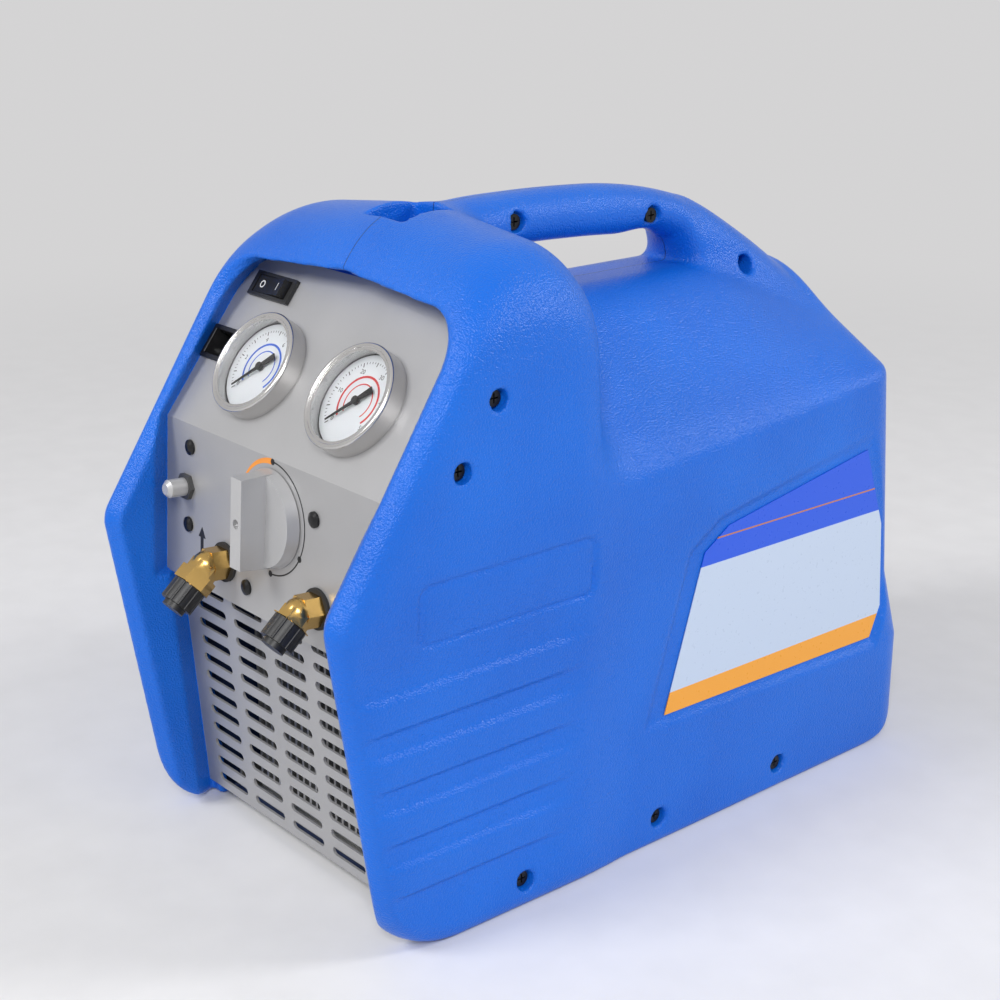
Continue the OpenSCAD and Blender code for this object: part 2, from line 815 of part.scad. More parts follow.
// Domed screws of the panel
module panel_screws() {
    color("black") for (p = panel_screws_at) on_mid(p[0], p[1]) {
        cylinder(screw_head / 2, r = screw_r);
        translate([0, 0, screw_head / 2]) cylinder(screw_head / 2, r1 = screw_r, r2 = screw_r / 2);
        translate([0, 0, -panel_t - screw_l]) cylinder(panel_t + screw_l, r = screw_r / 2);
    }
}

// Folded steel tray that carries the machinery
module base_plate() {
    color("slategray") {
        translate([-base_hw, base_y0, base_z]) cube([2 * base_hw, base_y1 - base_y0, base_t]);
        for (m = [-1, 1]) translate([m * (base_hw - base_t / 2) - base_t / 2, base_y0, base_top])
            cube([base_t, base_y1 - base_y0, flange_h]);
    }
}

// Rocker switch: frame with a well, and a rocker on two pivots
module switch_frame() {
    color("black") on_slant(switch_x, switch_s) difference() {
        union() {
            slab(switch_w / 2, -switch_h / 2, switch_h / 2, 0, switch_lip);
            slab(switch_w / 2 - switch_rim, switch_edge - switch_h / 2, switch_h / 2 - switch_edge,
                -switch_depth, 0);
        }
        slab(rocker_hw + pivot_r, -rocker_hh - clear, rocker_hh + clear, -switch_well, wall);
        translate([0, 0, pivot_z]) rotate([90, 0, 0])
            cylinder(pivot_l + clear, r = pivot_r + run, center = true);
    }
}
module switch_rocker() {
    color("dimgray") on_slant(switch_x, switch_s) translate([0, 0, pivot_z]) rotate([0, -rocker_a, 0])
        rotate([90, 0, 0]) {
            linear_extrude(2 * rocker_hh, center = true)
                polygon([[-rocker_hw, -rocker_low], [-rocker_hw, rocker_end], [0, rocker_mid],
                    [rocker_hw, rocker_end],
                    [rocker_hw, -rocker_low], [0, -2 * rocker_low]]);
            cylinder(pivot_l, r = pivot_r, center = true);
        }
}

// Three-pin mains inlet with its socket well
module mains_inlet() {
    in = inlet_rim + inlet_wall;
    color("black") on_slant(inlet_x, inlet_s) difference() {
        union() {
            slab(inlet_w / 2, -inlet_h / 2, inlet_h / 2, 0, inlet_lip);
            slab(inlet_w / 2 - inlet_rim, inlet_rim - inlet_h / 2, inlet_h / 2 - inlet_rim,
                -inlet_depth - inlet_floor, 0);
        }
        slab(inlet_w / 2 - in, in - inlet_h / 2, inlet_h / 2 - in, -inlet_depth, wall);
        at_inlet_pins() cube(inlet_pin);
    }
}
module at_inlet_pins() {
    for (p = inlet_pins_at)
        translate([p[0] - inlet_pin[0] / 2, p[1] - inlet_pin[1] / 2, -inlet_depth - inlet_pin_in]) children();
}
module inlet_pins() {
    color("silver") on_slant(inlet_x, inlet_s) at_inlet_pins() cube(inlet_pin);
}

// Thermal breaker with a push-to-reset button
module breaker_body() {
    color("dimgray") on_mid(breaker_x, breaker_s) difference() {
        union() {
            cylinder(breaker_rim, r = button_d / 2 + breaker_rim, $fn = 6);
            translate([0, 0, -panel_t]) cylinder(panel_t, r = button_d / 2 + breaker_neck);
            translate([0, 0, -breaker_l - panel_t]) cylinder(breaker_l, r = button_d / 2 + breaker_can);
        }
        translate([0, 0, -panel_t - button_in - button_travel]) cylinder(far, r = button_d / 2 + run);
    }
}
module breaker_button() {
    color("darkgray") on_mid(breaker_x, breaker_s) {
        translate([0, 0, -panel_t - button_in])
            cylinder(panel_t + button_in + button_l - button_tip, r = button_d / 2);
        translate([0, 0, button_l - button_tip])
            cylinder(button_tip, r1 = button_d / 2, r2 = button_d / 2 - button_tip);
    }
}

// Round selector with a tall bar grip, its screw and its valve stem
module selector_knob() {
    foot = knob_d / 2 - knob_draft / 2;
    color("darkgray") on_mid(0, knob_s) translate([0, 0, knob_gap]) difference() {
        union() {
            cylinder(knob_disc_h, r1 = knob_d / 2, r2 = knob_d / 2 - knob_draft);
            rotate([90, 0, 90]) linear_extrude(bar_w, center = true)
                polygon([[-foot, 0], [-foot + knob_draft, knob_h], [foot - knob_draft, knob_h], [foot, 0]]);
        }
        translate([0, 0, knob_h - knob_screw_d]) cylinder(far, r = knob_screw_r + skin_gap);
        translate([0, 0, -knob_gap]) cylinder(knob_h - 2 * knob_screw_d, r = stem_r + skin_gap);
    }
}
module knob_screw() {
    color("gray") on_mid(0, knob_s) translate([0, 0, knob_gap + knob_h - knob_screw_d]) difference() {
        cylinder(screw_head, r = knob_screw_r);
        translate([0, 0, screw_head])
            cube([screw_slot, 2 * knob_screw_r - screw_slot, screw_slot_d], center = true);
    }
}
module valve_stem() {
    color("silver") on_mid(0, knob_s) translate([0, 0, -panel_t - stem_in])
        cylinder(panel_t + stem_in + knob_h - 2 * knob_screw_d, r = stem_r);
}
module valve_block() {
    color("peru") on_mid(0, knob_s) difference() {
        translate([0, 0, -panel_t - valve_l]) cylinder(valve_l, r = valve_r);
        translate([0, 0, -panel_t - stem_in - knob_gap]) cylinder(far, r = stem_r + run);
    }
}

// Dial gauge: case with rear stem, bezel ring, dial, needle and lens
module gauge_case(x) {
    color("dimgray") on_slant(x, gauge_s) difference() {
        union() {
            translate([0, 0, -case_l]) cylinder(case_l + dial_z - dial_t, r = case_r);
            translate([0, 0, -case_l - gauge_stem_l]) cylinder(gauge_stem_l, r = gauge_stem_r, $fn = 6);
        }
        translate([0, 0, -pin_l - pin_r]) cylinder(far, r = pin_r + run);
    }
}
module gauge_bezel(x) {
    inner = case_r + skin_gap;
    ring = bezel_d / 2 - inner;
    color("silver") on_slant(x, gauge_s) rotate_extrude() {
        translate([inner, 0]) square([ring, bezel_h - bezel_round]);
        translate([inner + ring / 2, bezel_h - bezel_round]) circle(bezel_round, $fn = 24);
        translate([case_r - bezel_lip, lens_z + lens_t + skin_gap]) square([2 * bezel_lip, bezel_lip]);
    }
}
module gauge_dial(x) {
    color("white") on_slant(x, gauge_s) translate([0, 0, dial_z - dial_t]) difference() {
        cylinder(dial_t, r = case_r - dial_gap);
        cylinder(far, r = pin_r + run, center = true);
    }
}
module gauge_needle(x) {
    tip = case_r - needle_short;
    tail = tip * 0.55;
    half = needle_hub_r / 2;
    color("black") on_slant(x, gauge_s) rotate([0, 0, needle_a]) {
        translate([0, 0, needle_z - dial_t]) cylinder(needle_hub_h, r = needle_hub_r);
        translate([0, 0, needle_z]) linear_extrude(needle_t) {
            polygon([[0, -half], [tip, -needle_t / 2], [tip, needle_t / 2], [0, half]]);
            polygon([[0, -half], [-tail, -pin_r - half], [-tail, pin_r + half], [0, half]]);
        }
        translate([0, 0, -pin_l]) cylinder(needle_z + pin_l, r = pin_r);
    }
}
module gauge_lens(x) {
    color("lightcyan", 0.4) on_slant(x, gauge_s) translate([0, 0, lens_z]) cylinder(lens_t, r = case_r);
}
module low_gauge_case() { gauge_case(-gauge_x); }
module low_gauge_bezel() { gauge_bezel(-gauge_x); }
module low_gauge_dial() { gauge_dial(-gauge_x); }
module low_gauge_needle() { gauge_needle(-gauge_x); }
module low_gauge_lens() { gauge_lens(-gauge_x); }
module high_gauge_case() { gauge_case(gauge_x); }
module high_gauge_bezel() { gauge_bezel(gauge_x); }
module high_gauge_dial() { gauge_dial(gauge_x); }
module high_gauge_needle() { gauge_needle(gauge_x); }
module high_gauge_lens() { gauge_lens(gauge_x); }

// Local frame at the bend of an elbow, Z along the outgoing leg
module on_leg(x) {
    on_mid(x, port_s) translate([0, 0, elbow_h]) rotate([elbow_a, 0, 0]) children();
}
module elbow(x, extra) {
    color("goldenrod") {
        on_mid(x, port_s) {
            translate([0, 0, washer_t]) cylinder(elbow_h - washer_t, r = hex_r, $fn = 6);
            translate([0, 0, -shank_l]) cylinder(shank_l + washer_t, r = shank_r);
        }
        on_leg(x) {
            sphere(hex_r - ball_in);
            cylinder(leg_l, r = hex_r - leg_in, $fn = 6);
            translate([0, 0, leg_l]) cylinder(extra, r = hex_r + adapter_rim, $fn = 6);
            translate([0, 0, leg_l + extra]) cylinder(nozzle_l, r = nozzle_r);
        }
    }
}
module inlet_elbow() { elbow(-port_x, adapter_l); }
module outlet_elbow() { elbow(port_x, outlet_l); }
module port_washers() {
    color("black") for (m = [-1, 1]) on_mid(m * port_x, port_s) difference() {
        cylinder(washer_t, r = hex_r + washer_rim);
        drill(shank_r + skin_gap);
    }
}
module port_nuts() {
    color("goldenrod") for (m = [-1, 1]) on_mid(m * port_x, port_s)
        translate([0, 0, -panel_t - nut_l]) difference() {
        cylinder(nut_l, r = hex_r + washer_rim, $fn = 6);
        cylinder(far, r = shank_r + skin_gap, center = true);
    }
}
module port_cap(x, extra) {
    skirt = cap_l - cap_top;
    color("black") on_leg(x) translate([0, 0, leg_l + extra + clear]) difference() {
        union() {
            cylinder(skirt, r = cap_r - cap_rib_r / 2);
            for (i = [0 : cap_ribs - 1]) rotate([0, 0, 360 / cap_ribs * i])
                translate([cap_r - cap_rib_r, 0, 0])
                cylinder(skirt, r = cap_rib_r);
            translate([0, 0, skirt]) cylinder(cap_top, r = cap_r - cap_top);
        }
        translate([0, 0, -1]) cylinder(nozzle_l + 1, r = nozzle_r + clear);
    }
}
module inlet_cap() { port_cap(-port_x, adapter_l); }
module outlet_cap() { port_cap(port_x, outlet_l); }

// Oil-less piston compressor on four rubber feet
bed_z = base_top + foot_h;
module compressor_motor() {
    color("dimgray") {
        translate([0, motor_y, motor_z]) rotate([-90, 0, 0]) {
            cylinder(motor_l, r = motor_r);
            for (i = [0 : motor_ribs - 1]) rotate([0, 0, 360 / motor_ribs * i])
                translate([motor_r - motor_rib[0] / 4, -motor_rib[1] / 2, motor_rib[2]])
                    cube([motor_rib[0], motor_rib[1], motor_l - 2 * motor_rib[2]]);
        }
        translate([-bed_hw, motor_bed_y, bed_z])
            cube([2 * bed_hw, motor_bed_l, motor_z - motor_r * bed_share - bed_z]);
    }
}
module compressor_crankcase() {
    color("silver") {
        translate([-crank_hw, crank_y, motor_z - crank_hh]) cube([2 * crank_hw, crank_l, 2 * crank_hh]);
        translate([-bed_hw, crank_y + bed_in, bed_z])
            cube([2 * bed_hw, crank_l - 2 * bed_in, motor_z - crank_hh - bed_z]);
    }
}
module compressor_barrel() {
    pitch = (barrel_h - barrel_fin_d) / barrel_fins;
    color("silver") translate([0, barrel_y, crank_top]) {
        cylinder(barrel_h, r = barrel_r - barrel_fin_d);
        for (i = [0 : barrel_fins - 1]) translate([0, 0, barrel_fin_d + i * pitch])
            cylinder(barrel_fin_t, r = barrel_r);
    }
}
module compressor_head() {
    color("silver") translate([-barrel_r, barrel_y - barrel_r, head_z])
        cube([2 * barrel_r, 2 * barrel_r, head_h]);
}
module compressor_feet() {
    color("black") for (m = [-1, 1], y = [barrel_y, motor_bed_y + motor_bed_l / 2])
        translate([m * foot_x, y, base_top]) cylinder(foot_h, r = foot_r);
}

// Finned condenser block with its tube bends
module condenser_coil() {
    color("silver") translate([-coil_hw, coil_y, base_top]) {
        for (z = [0, coil_h - coil_end]) translate([0, 0, z]) cube([2 * coil_hw, coil_t, coil_end]);
        for (i = [0 : fin_n - 1]) translate([i * (2 * coil_hw - fin_t) / (fin_n - 1), 0, coil_end])
            cube([fin_t, coil_t, coil_h - 2 * coil_end]);
        for (j = [0 : coil_tubes - 1]) translate([0, coil_t / 2, tube_z + j * tube_pitch]) rotate([0, 90, 0])
            cylinder(2 * coil_hw, r = tube_r);
    }
}
module condenser_bends() {
    color("peru") for (m = [0, 1], j = [0, 1]) mirror([m, 0, 0])
        translate([coil_hw, coil_y + coil_t / 2, base_top + tube_z + tube_pitch * (2 * j + m + 0.5)])
            rotate([90, 0, 0])
            rotate_extrude(angle = 180, start = -90) translate([tube_pitch / 2, 0]) circle(tube_r, $fn = 24);
}

// Rear fan on its own small motor
module fan_rotor() {
    root = hub_r - hub_l / 5;
    neck = fan_r * 0.7;
    color("black") translate([0, fan_y, fan_z]) rotate([90, 0, 0]) {
        cylinder(hub_l, r = hub_r, center = true);
        for (i = [0 : blade_n - 1]) rotate([0, 0, 360 / blade_n * i]) rotate([blade_a, 0, 0])
            linear_extrude(blade_t, center = true)
                polygon([[root, -blade_root], [neck, -blade_w], [fan_r, -blade_w * 0.8],
                    [fan_r, blade_w * 0.65],
                    [neck, blade_w * 0.9], [root, blade_root]]);
        translate([0, 0, hub_l / 2]) cylinder(fan_shaft_l, r = fan_shaft_r);
    }
}
module fan_motor() {
    color("gray") translate([0, fan_motor_y, fan_z]) rotate([90, 0, 0]) difference() {
        cylinder(fan_motor_l, r = fan_motor_r);
        translate([0, 0, -1]) cylinder(fan_shaft_l + hub_l / 4, r = fan_shaft_r + run);
    }
}
module fan_bracket() {
    y = fan_motor_y - fan_motor_l - bracket_t;
    color("slategray") {
        translate([-bracket_hw, y, base_top])
            cube([2 * bracket_hw, bracket_t, fan_z + fan_motor_r - base_top]);
        translate([-bracket_hw, y, base_top]) cube([2 * bracket_hw, bracket_foot, bracket_t]);
    }
}
module run_capacitor() {
    color("lightgray") translate([can_x, can_y, base_top]) cylinder(can_h, r = can_r);
}
module capacitor_clip() {
    color("silver") translate([can_x, can_y, base_top + clip_z]) difference() {
        cylinder(clip_h, r = can_r + clip_t);
        cylinder(far, r = can_r + skin_gap, center = true);
    }
}

// Round bar through a run of points, with ball corners turned off the bar's own facets
ball_turn = [35, 25, 0];
module pipe(pts, r) {
    for (i = [0 : len(pts) - 2]) {
        d = pts[i + 1] - pts[i];
        translate(pts[i]) rotate([0, acos(d[2] / norm(d)), atan2(d[1], d[0])])
            cylinder(norm(d), r = r, $fn = 24);
        if (i > 0) translate(pts[i]) rotate(ball_turn) sphere(r + clear, $fn = 24);
    }
}

// Points at a depth d behind the control face and behind the gauge face
function mid_pt(x, s, d) =
    [x, bend_y - s * sin(mid_a) + d * cos(mid_a), bend_z - s * cos(mid_a) - d * sin(mid_a)];
function slant_pt(x, s, d) =
    [x, bend_y + s * sin(panel_a) + d * cos(panel_a), bend_z + s * cos(panel_a) - d * sin(panel_a)];
coil_mid_y = coil_y + coil_t / 2;
coil_top_z = base_top + tube_z + (coil_tubes - 1) * tube_pitch;
pipe_z = head_z + head_h / 2;
pipe_off = 10;
pipe_lead = 20;
pipe_side = 8;
module suction_pipe() {
    a = mid_pt(-port_x, port_s, shank_l);
    b = mid_pt(-port_x, port_s, shank_l + pipe_lead);
    y = barrel_y - pipe_off;
    color("peru") pipe([a, b, [b[0], b[1], pipe_z], [b[0], y, pipe_z], [-barrel_r, y, pipe_z]], pipe_r);
}
module discharge_pipe() {
    x = coil_hw + pipe_side;
    y = barrel_y + pipe_off;
    color("peru") pipe([[barrel_r, y, pipe_z], [x, y, pipe_z], [x, coil_mid_y, pipe_z],
        [x, coil_mid_y, coil_top_z], [coil_hw, coil_mid_y, coil_top_z]], pipe_r);
}
module liquid_pipe() {
    a = mid_pt(port_x, port_s, shank_l);
    b = mid_pt(port_x, port_s, (coil_mid_y - a[1]) / cos(mid_a) + shank_l);
    color("peru") pipe([a, b, [b[0], b[1], base_top + coil_h]], pipe_r);
}
module pressure_switch() {
    color("black") translate([barrel_r / 2, barrel_y, head_z + head_h]) {
        cylinder(switch_stem_l, r = switch_stem_r);
        translate([0, 0, switch_stem_l]) cylinder(switch_can_h, r = switch_can_r);
    }
}
module gauge_tubes() {
    back = case_l + gauge_stem_l;
    deep = panel_t + valve_l;
    color("peru") for (m = [-1, 1])
        pipe([slant_pt(m * gauge_x, gauge_s, back), slant_pt(m * gauge_x, gauge_s, back + pipe_side),
            mid_pt(m * valve_r / 2, knob_s, deep + 2 * pipe_side),
            mid_pt(m * valve_r / 2, knob_s, deep)], tube_bore_r);
}

// Plain label in the right-hand recess
module side_label() {
    film = inset(label_outline(), -label_edge);
    color("white") on_label() linear_extrude(label_t) polygon(rounded(film, [for (p = film) label_d]));
}

right_shell();
left_shell();
shell_screws();
control_panel();
front_grille();
rear_grille();
panel_screws();
base_plate();
switch_frame();
switch_rocker();
mains_inlet();
inlet_pins();
breaker_body();
breaker_button();
selector_knob();
knob_screw();
valve_stem();
valve_block();
low_gauge_case();
low_gauge_bezel();
low_gauge_dial();
low_gauge_needle();
low_gauge_lens();
high_gauge_case();
high_gauge_bezel();
high_gauge_dial();
high_gauge_needle();
high_gauge_lens();
inlet_elbow();
outlet_elbow();
port_washers();
port_nuts();
inlet_cap();
outlet_cap();
compressor_motor();
compressor_crankcase();
compressor_barrel();
compressor_head();
compressor_feet();
condenser_coil();
condenser_bends();
fan_rotor();
fan_motor();
fan_bracket();
run_capacitor();
capacitor_clip();
pressure_switch();
suction_pipe();
discharge_pipe();
liquid_pipe();
gauge_tubes();
side_label();
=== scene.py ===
import bmesh
import bpy
import json
import math
import numpy as np
import openvdb
from mathutils import Matrix, Vector


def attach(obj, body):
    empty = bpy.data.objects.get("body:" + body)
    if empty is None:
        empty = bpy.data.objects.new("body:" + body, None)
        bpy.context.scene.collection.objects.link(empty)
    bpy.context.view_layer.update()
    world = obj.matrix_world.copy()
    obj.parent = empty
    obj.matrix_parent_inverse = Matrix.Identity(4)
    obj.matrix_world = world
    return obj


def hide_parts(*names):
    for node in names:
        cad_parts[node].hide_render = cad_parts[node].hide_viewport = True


mm = 0.001
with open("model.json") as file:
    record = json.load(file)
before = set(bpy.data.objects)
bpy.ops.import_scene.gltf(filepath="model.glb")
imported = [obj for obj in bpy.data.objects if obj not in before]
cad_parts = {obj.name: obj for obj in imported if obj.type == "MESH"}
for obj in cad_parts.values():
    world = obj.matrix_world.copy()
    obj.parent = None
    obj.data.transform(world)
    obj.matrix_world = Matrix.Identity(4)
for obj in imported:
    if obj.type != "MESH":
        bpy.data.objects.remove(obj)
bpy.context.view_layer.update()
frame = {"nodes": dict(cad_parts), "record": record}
nodes = frame["nodes"]
print("frame loaded:", len(nodes), "nodes")

# faces of the bent panel, local z out of the face and local y up it
faces = {"bendY": -176.0, "bendZ": 234.5, "slantLean": 37.4, "midLean": 4.1,
         "grilleY": -162.6, "grilleZ": 9.0, "grilleLean": -4.4, "grilleTop": 147.5}


def faceMatrix(lean, x=0.0, along=0.0, out=0.0):
    a = math.radians(lean)
    up = Vector((0, math.sin(a), math.cos(a)))
    normal = Vector((0, -math.cos(a), math.sin(a)))
    at = Vector((x, faces["bendY"], faces["bendZ"])) + up * along + normal * out
    turn = Matrix((Vector((1, 0, 0)), up, normal)).transposed().to_4x4()
    return Matrix.Translation(at * mm) @ turn


def slantMatrix(x, along, out=0.0):
    return faceMatrix(faces["slantLean"], x, along, out)


def midMatrix(x, along, out=0.0):
    return faceMatrix(faces["midLean"], x, along, out)


# node graph helpers
def newMaterial(name):
    mat = bpy.data.materials.new(name)
    mat.use_nodes = True
    tree = mat.node_tree
    return mat, tree, tree.nodes["Principled BSDF"]


def addNode(tree, kind, **values):
    node = tree.nodes.new(kind)
    for key, value in values.items():
        if key in node.inputs:
            node.inputs[key].default_value = value
        else:
            setattr(node, key, value)
    return node


def feed(tree, socket, value):
    if isinstance(value, bpy.types.NodeSocket):
        tree.links.new(value, socket)
    else:
        socket.default_value = value


def objectCoords(tree):
    return addNode(tree, "ShaderNodeTexCoord").outputs["Object"]


def partOut(tree, vector, axis):
    node = addNode(tree, "ShaderNodeSeparateXYZ")
    tree.links.new(vector, node.inputs["Vector"])
    return node.outputs[axis]


def mathOut(tree, operation, *values):
    node = addNode(tree, "ShaderNodeMath", operation=operation)
    for socket, value in zip(node.inputs, values):
        feed(tree, socket, value)
    return node.outputs["Value"]


# the mix node's colour sockets go by number: 6 and 7 in, 2 out
def mixOut(tree, factor, under, over):
    node = addNode(tree, "ShaderNodeMix", data_type="RGBA")
    tree.links.new(factor, node.inputs["Factor"])
    feed(tree, node.inputs[6], under)
    feed(tree, node.inputs[7], over)
    return node.outputs[2]


def noiseOut(tree, vector, scale, detail=3.0, rough=0.5):
    node = addNode(tree, "ShaderNodeTexNoise", Scale=scale, Detail=detail, Roughness=rough)
    tree.links.new(vector, node.inputs["Vector"])
    return node.outputs["Fac"]


def rampOut(tree, fac, stops):
    node = addNode(tree, "ShaderNodeValToRGB")
    ramp = node.color_ramp
    for element, (at, colour) in zip(ramp.elements, stops):
        element.position = at
        element.color = (*colour, 1)
    tree.links.new(fac, node.inputs["Fac"])
    return node.outputs["Color"]


def spreadOut(tree, fac, low, high):
    node = addNode(tree, "ShaderNodeMapRange")
    node.inputs["To Min"].default_value = low
    node.inputs["To Max"].default_value = high
    tree.links.new(fac, node.inputs["Value"])
    return node.outputs["Result"]


def addBump(tree, shader, height, strength, distance):
    node = addNode(tree, "ShaderNodeBump", Strength=strength, Distance=distance)
    tree.links.new(height, node.inputs["Height"])
    tree.links.new(node.outputs["Normal"], shader.inputs["Normal"])
    return node


def scaled(colour, by):
    return tuple(min(c * by, 1.0) for c in colour)


# plain finish: a faint cloud in the colour, fine grain in the roughness and the bump
plain = {"cloud": 30.0, "stops": (0.3, 0.7), "detail": 4.0, "grainRough": 0.6, "spread": 0.2, "depth": 0.0002}


def plainFinish(name, colour, rough, metal=0.0, grain=900.0, bump=0.15, vary=0.08):
    mat, tree, shader = newMaterial(name)
    vector = objectCoords(tree)
    cloud = noiseOut(tree, vector, plain["cloud"])
    tints = (scaled(colour, 1 - vary), scaled(colour, 1 + vary))
    tree.links.new(rampOut(tree, cloud, zip(plain["stops"], tints)), shader.inputs["Base Color"])
    fine = noiseOut(tree, vector, grain, plain["detail"], plain["grainRough"])
    low, high = rough * (1 - plain["spread"]), min(rough * (1 + plain["spread"]), 1.0)
    tree.links.new(spreadOut(tree, fine, low, high), shader.inputs["Roughness"])
    addBump(tree, shader, fine, bump, plain["depth"])
    shader.inputs["Metallic"].default_value = metal
    return mat


# blue moulding with its pebble grain, and a dark line where the halves meet
blue = {"dark": (0.004, 0.124, 0.63), "light": (0.006, 0.157, 0.73), "cloud": 9.0, "cloudDetail": 4.0,
        "stops": (0.3, 0.7), "rough": (0.22, 0.38), "specular": 0.36,
        "pebble": 980.0, "smooth": 0.35, "warp": 180.0, "warpDetail": 2.0, "warpBy": 0.001,
        "fine": 2600.0, "fineDetail": 3.0, "fineRough": 0.6, "fineShare": -0.12,
        "strength": 0.6, "depth": 0.0006, "seam": (0.002, 0.03, 0.17), "seamHalf": 0.0003}


def housingBlue():
    mat, tree, shader = newMaterial("housingBlue")
    vector = objectCoords(tree)
    warp = addNode(tree, "ShaderNodeTexNoise", Scale=blue["warp"], Detail=blue["warpDetail"])
    tree.links.new(vector, warp.inputs["Vector"])
    shift = addNode(tree, "ShaderNodeVectorMath", operation="SCALE", Scale=blue["warpBy"])
    tree.links.new(warp.outputs["Color"], shift.inputs[0])
    moved = addNode(tree, "ShaderNodeVectorMath", operation="ADD")
    tree.links.new(vector, moved.inputs[0])
    tree.links.new(shift.outputs["Vector"], moved.inputs[1])
    pebble = addNode(tree, "ShaderNodeTexVoronoi", feature="SMOOTH_F1", Scale=blue["pebble"],
                     Smoothness=blue["smooth"])
    tree.links.new(moved.outputs["Vector"], pebble.inputs["Vector"])
    fine = noiseOut(tree, vector, blue["fine"], blue["fineDetail"], blue["fineRough"])
    dome = mathOut(tree, "MULTIPLY", pebble.outputs["Distance"], pebble.outputs["Distance"])
    height = mathOut(tree, "MULTIPLY_ADD", fine, blue["fineShare"], dome)
    bump = addBump(tree, shader, height, blue["strength"], blue["depth"])
    bump.invert = True
    cloud = noiseOut(tree, vector, blue["cloud"], blue["cloudDetail"])
    tint = rampOut(tree, cloud, zip(blue["stops"], (blue["dark"], blue["light"])))
    atSeam = mathOut(tree, "COMPARE", partOut(tree, vector, "X"), 0.0, blue["seamHalf"])
    tree.links.new(mixOut(tree, atSeam, tint, (*blue["seam"], 1)), shader.inputs["Base Color"])
    tree.links.new(spreadOut(tree, fine, *blue["rough"]), shader.inputs["Roughness"])
    shader.inputs["Specular IOR Level"].default_value = blue["specular"]
    return mat


# signed distances, in millimetres
def clamp01(x):
    return np.clip(x, 0.0, 1.0)


def ease(low, high, x):
    t = clamp01((x - low) / (high - low))
    return t * t * (3 - 2 * t)


def roundBoth(a, b, r):
    return np.minimum(np.maximum(a, b), -r) + np.hypot(np.maximum(a + r, 0), np.maximum(b + r, 0))


def without(a, b, r):
    return roundBoth(a, -b, r)


# soft joins of surfaces at any angle: the width follows from the round and the turn between them
def joinWidth(r, turn):
    return 2 * r * math.sin(math.radians(turn) / 2) ** 2


def softBoth(a, b, width):
    near = np.maximum(width - np.abs(a - b), 0)
    return np.maximum(a, b) + near * near / (4 * width)


def softEither(a, b, width):
    return -softBoth(-a, -b, width)


def allOf(first, *others):
    for other in others:
        first = np.maximum(first, other)
    return first


# plane that faces forward and leans up by an angle
def leanPlane(y, z, atY, atZ, angle):
    a = math.radians(angle)
    return (atY - y) * math.cos(a) + (z - atZ) * math.sin(a)


def roundedRect(u, v, halfU, halfV, r):
    du = np.abs(u) - halfU + r
    dv = np.abs(v) - halfV + r
    return np.minimum(np.maximum(du, dv), 0) + np.hypot(np.maximum(du, 0), np.maximum(dv, 0)) - r


def outlineDistance(y, z, points):
    best = np.full(np.broadcast(y, z).shape, np.inf, np.float32)
    inside = np.zeros(best.shape, bool)
    for (y0, z0), (y1, z1) in zip(points, points[1:] + points[:1]):
        ey, ez = y1 - y0, z1 - z0
        t = clamp01(((y - y0) * ey + (z - z0) * ez) / (ey * ey + ez * ez))
        best = np.minimum(best, np.hypot(y - y0 - t * ey, z - z0 - t * ez))
        crosses = ((z0 > z) != (z1 > z)) & (y < (z - z0) * ey / (ez if ez else 1e-9) + y0)
        inside ^= crosses
    return np.where(inside, -best, best)


# driving values of the moulding, in millimetres
shell = {"halfWidth": 113.0, "height": 353.0, "flatR": 1.0, "crownZ": 354.0, "wall": 4.0, "seam": 0.03,
         "kneeY": -220.36, "kneeZ": 186.0, "slope": 33.0, "wingLean": 9.0, "knee": joinWidth(18.0, 42.0),
         "toe": joinWidth(44.0, 84.0), "toeR": 5.0, "edgeR": 15.0, "archR": 48.0, "crown": 0.115,
         "crest": joinWidth(57.0, 57.0), "brow": joinWidth(38.0, 84.0), "blockY": -51.5, "blockFoot": 6.0,
         "valley": joinWidth(34.0, 84.0), "trunkY": -100.0,
         "voxel": 1.6, "low": (-6.0, -226.0, -6.0), "span": (125.0, 452.0, 366.0)}
roof = {"ridgeZ": 300.0, "fall": 26.0, "ridgeHalf": 30.0, "soft": 16.0, "shoulderX": 92.0, "shoulderZ": 241.0,
        "shoulderR": 28.0, "breakY": 112.5, "ease": 8.5, "endY": 201.5, "eave": joinWidth(28.0, 72.0)}
rear = {"y": 219.5, "lap": 1.0, "bulge": 12.0, "bulgeZ": 66.0, "bulgeTop": 110.0,
        "rim": joinWidth(40.0, 15.0), "cornerR": 26.0, "cornerSoft": 3.0, "neckDraw": 3.5, "drawFrom": 20.0,
        "blend": (-14.0, 26.0), "levels": (66.0, 110.0, 241.0), "draw": (7.0, 9.0, 15.0),
        "setBack": (0.0, 12.0, 16.8)}
grooves = {"heights": (36.0, 66.3, 96.7, 127.0), "depth": 2.4, "gap": 12.0, "lip": (3.0, 1.5), "crease": 0.7,
           "pitch": 30.4, "foot": (6.0, 32.0), "head": (6.0, 40.0), "stop": 20.0, "step": 5.5, "fade": 36.0}
plate = {"y": -113.5, "z": 180.5, "halfY": 56.0, "halfZ": 15.5, "corner": 6.0, "depth": 0.7, "soft": 0.9,
         "line": 1.3, "lineCore": 0.3, "lineHalf": 1.9}
label = {"points": [(-12.5, 74), (183.5, 69), (194.5, 92), (191.5, 152),
                    (175.5, 200), (43.5, 180), (19.5, 166)],
         "x": 106.75, "leanZ": 0.0229, "leanY": 0.0219, "baseZ": 110.0, "baseY": -31.5,
         "margin": 1.2, "edge": 3.0}
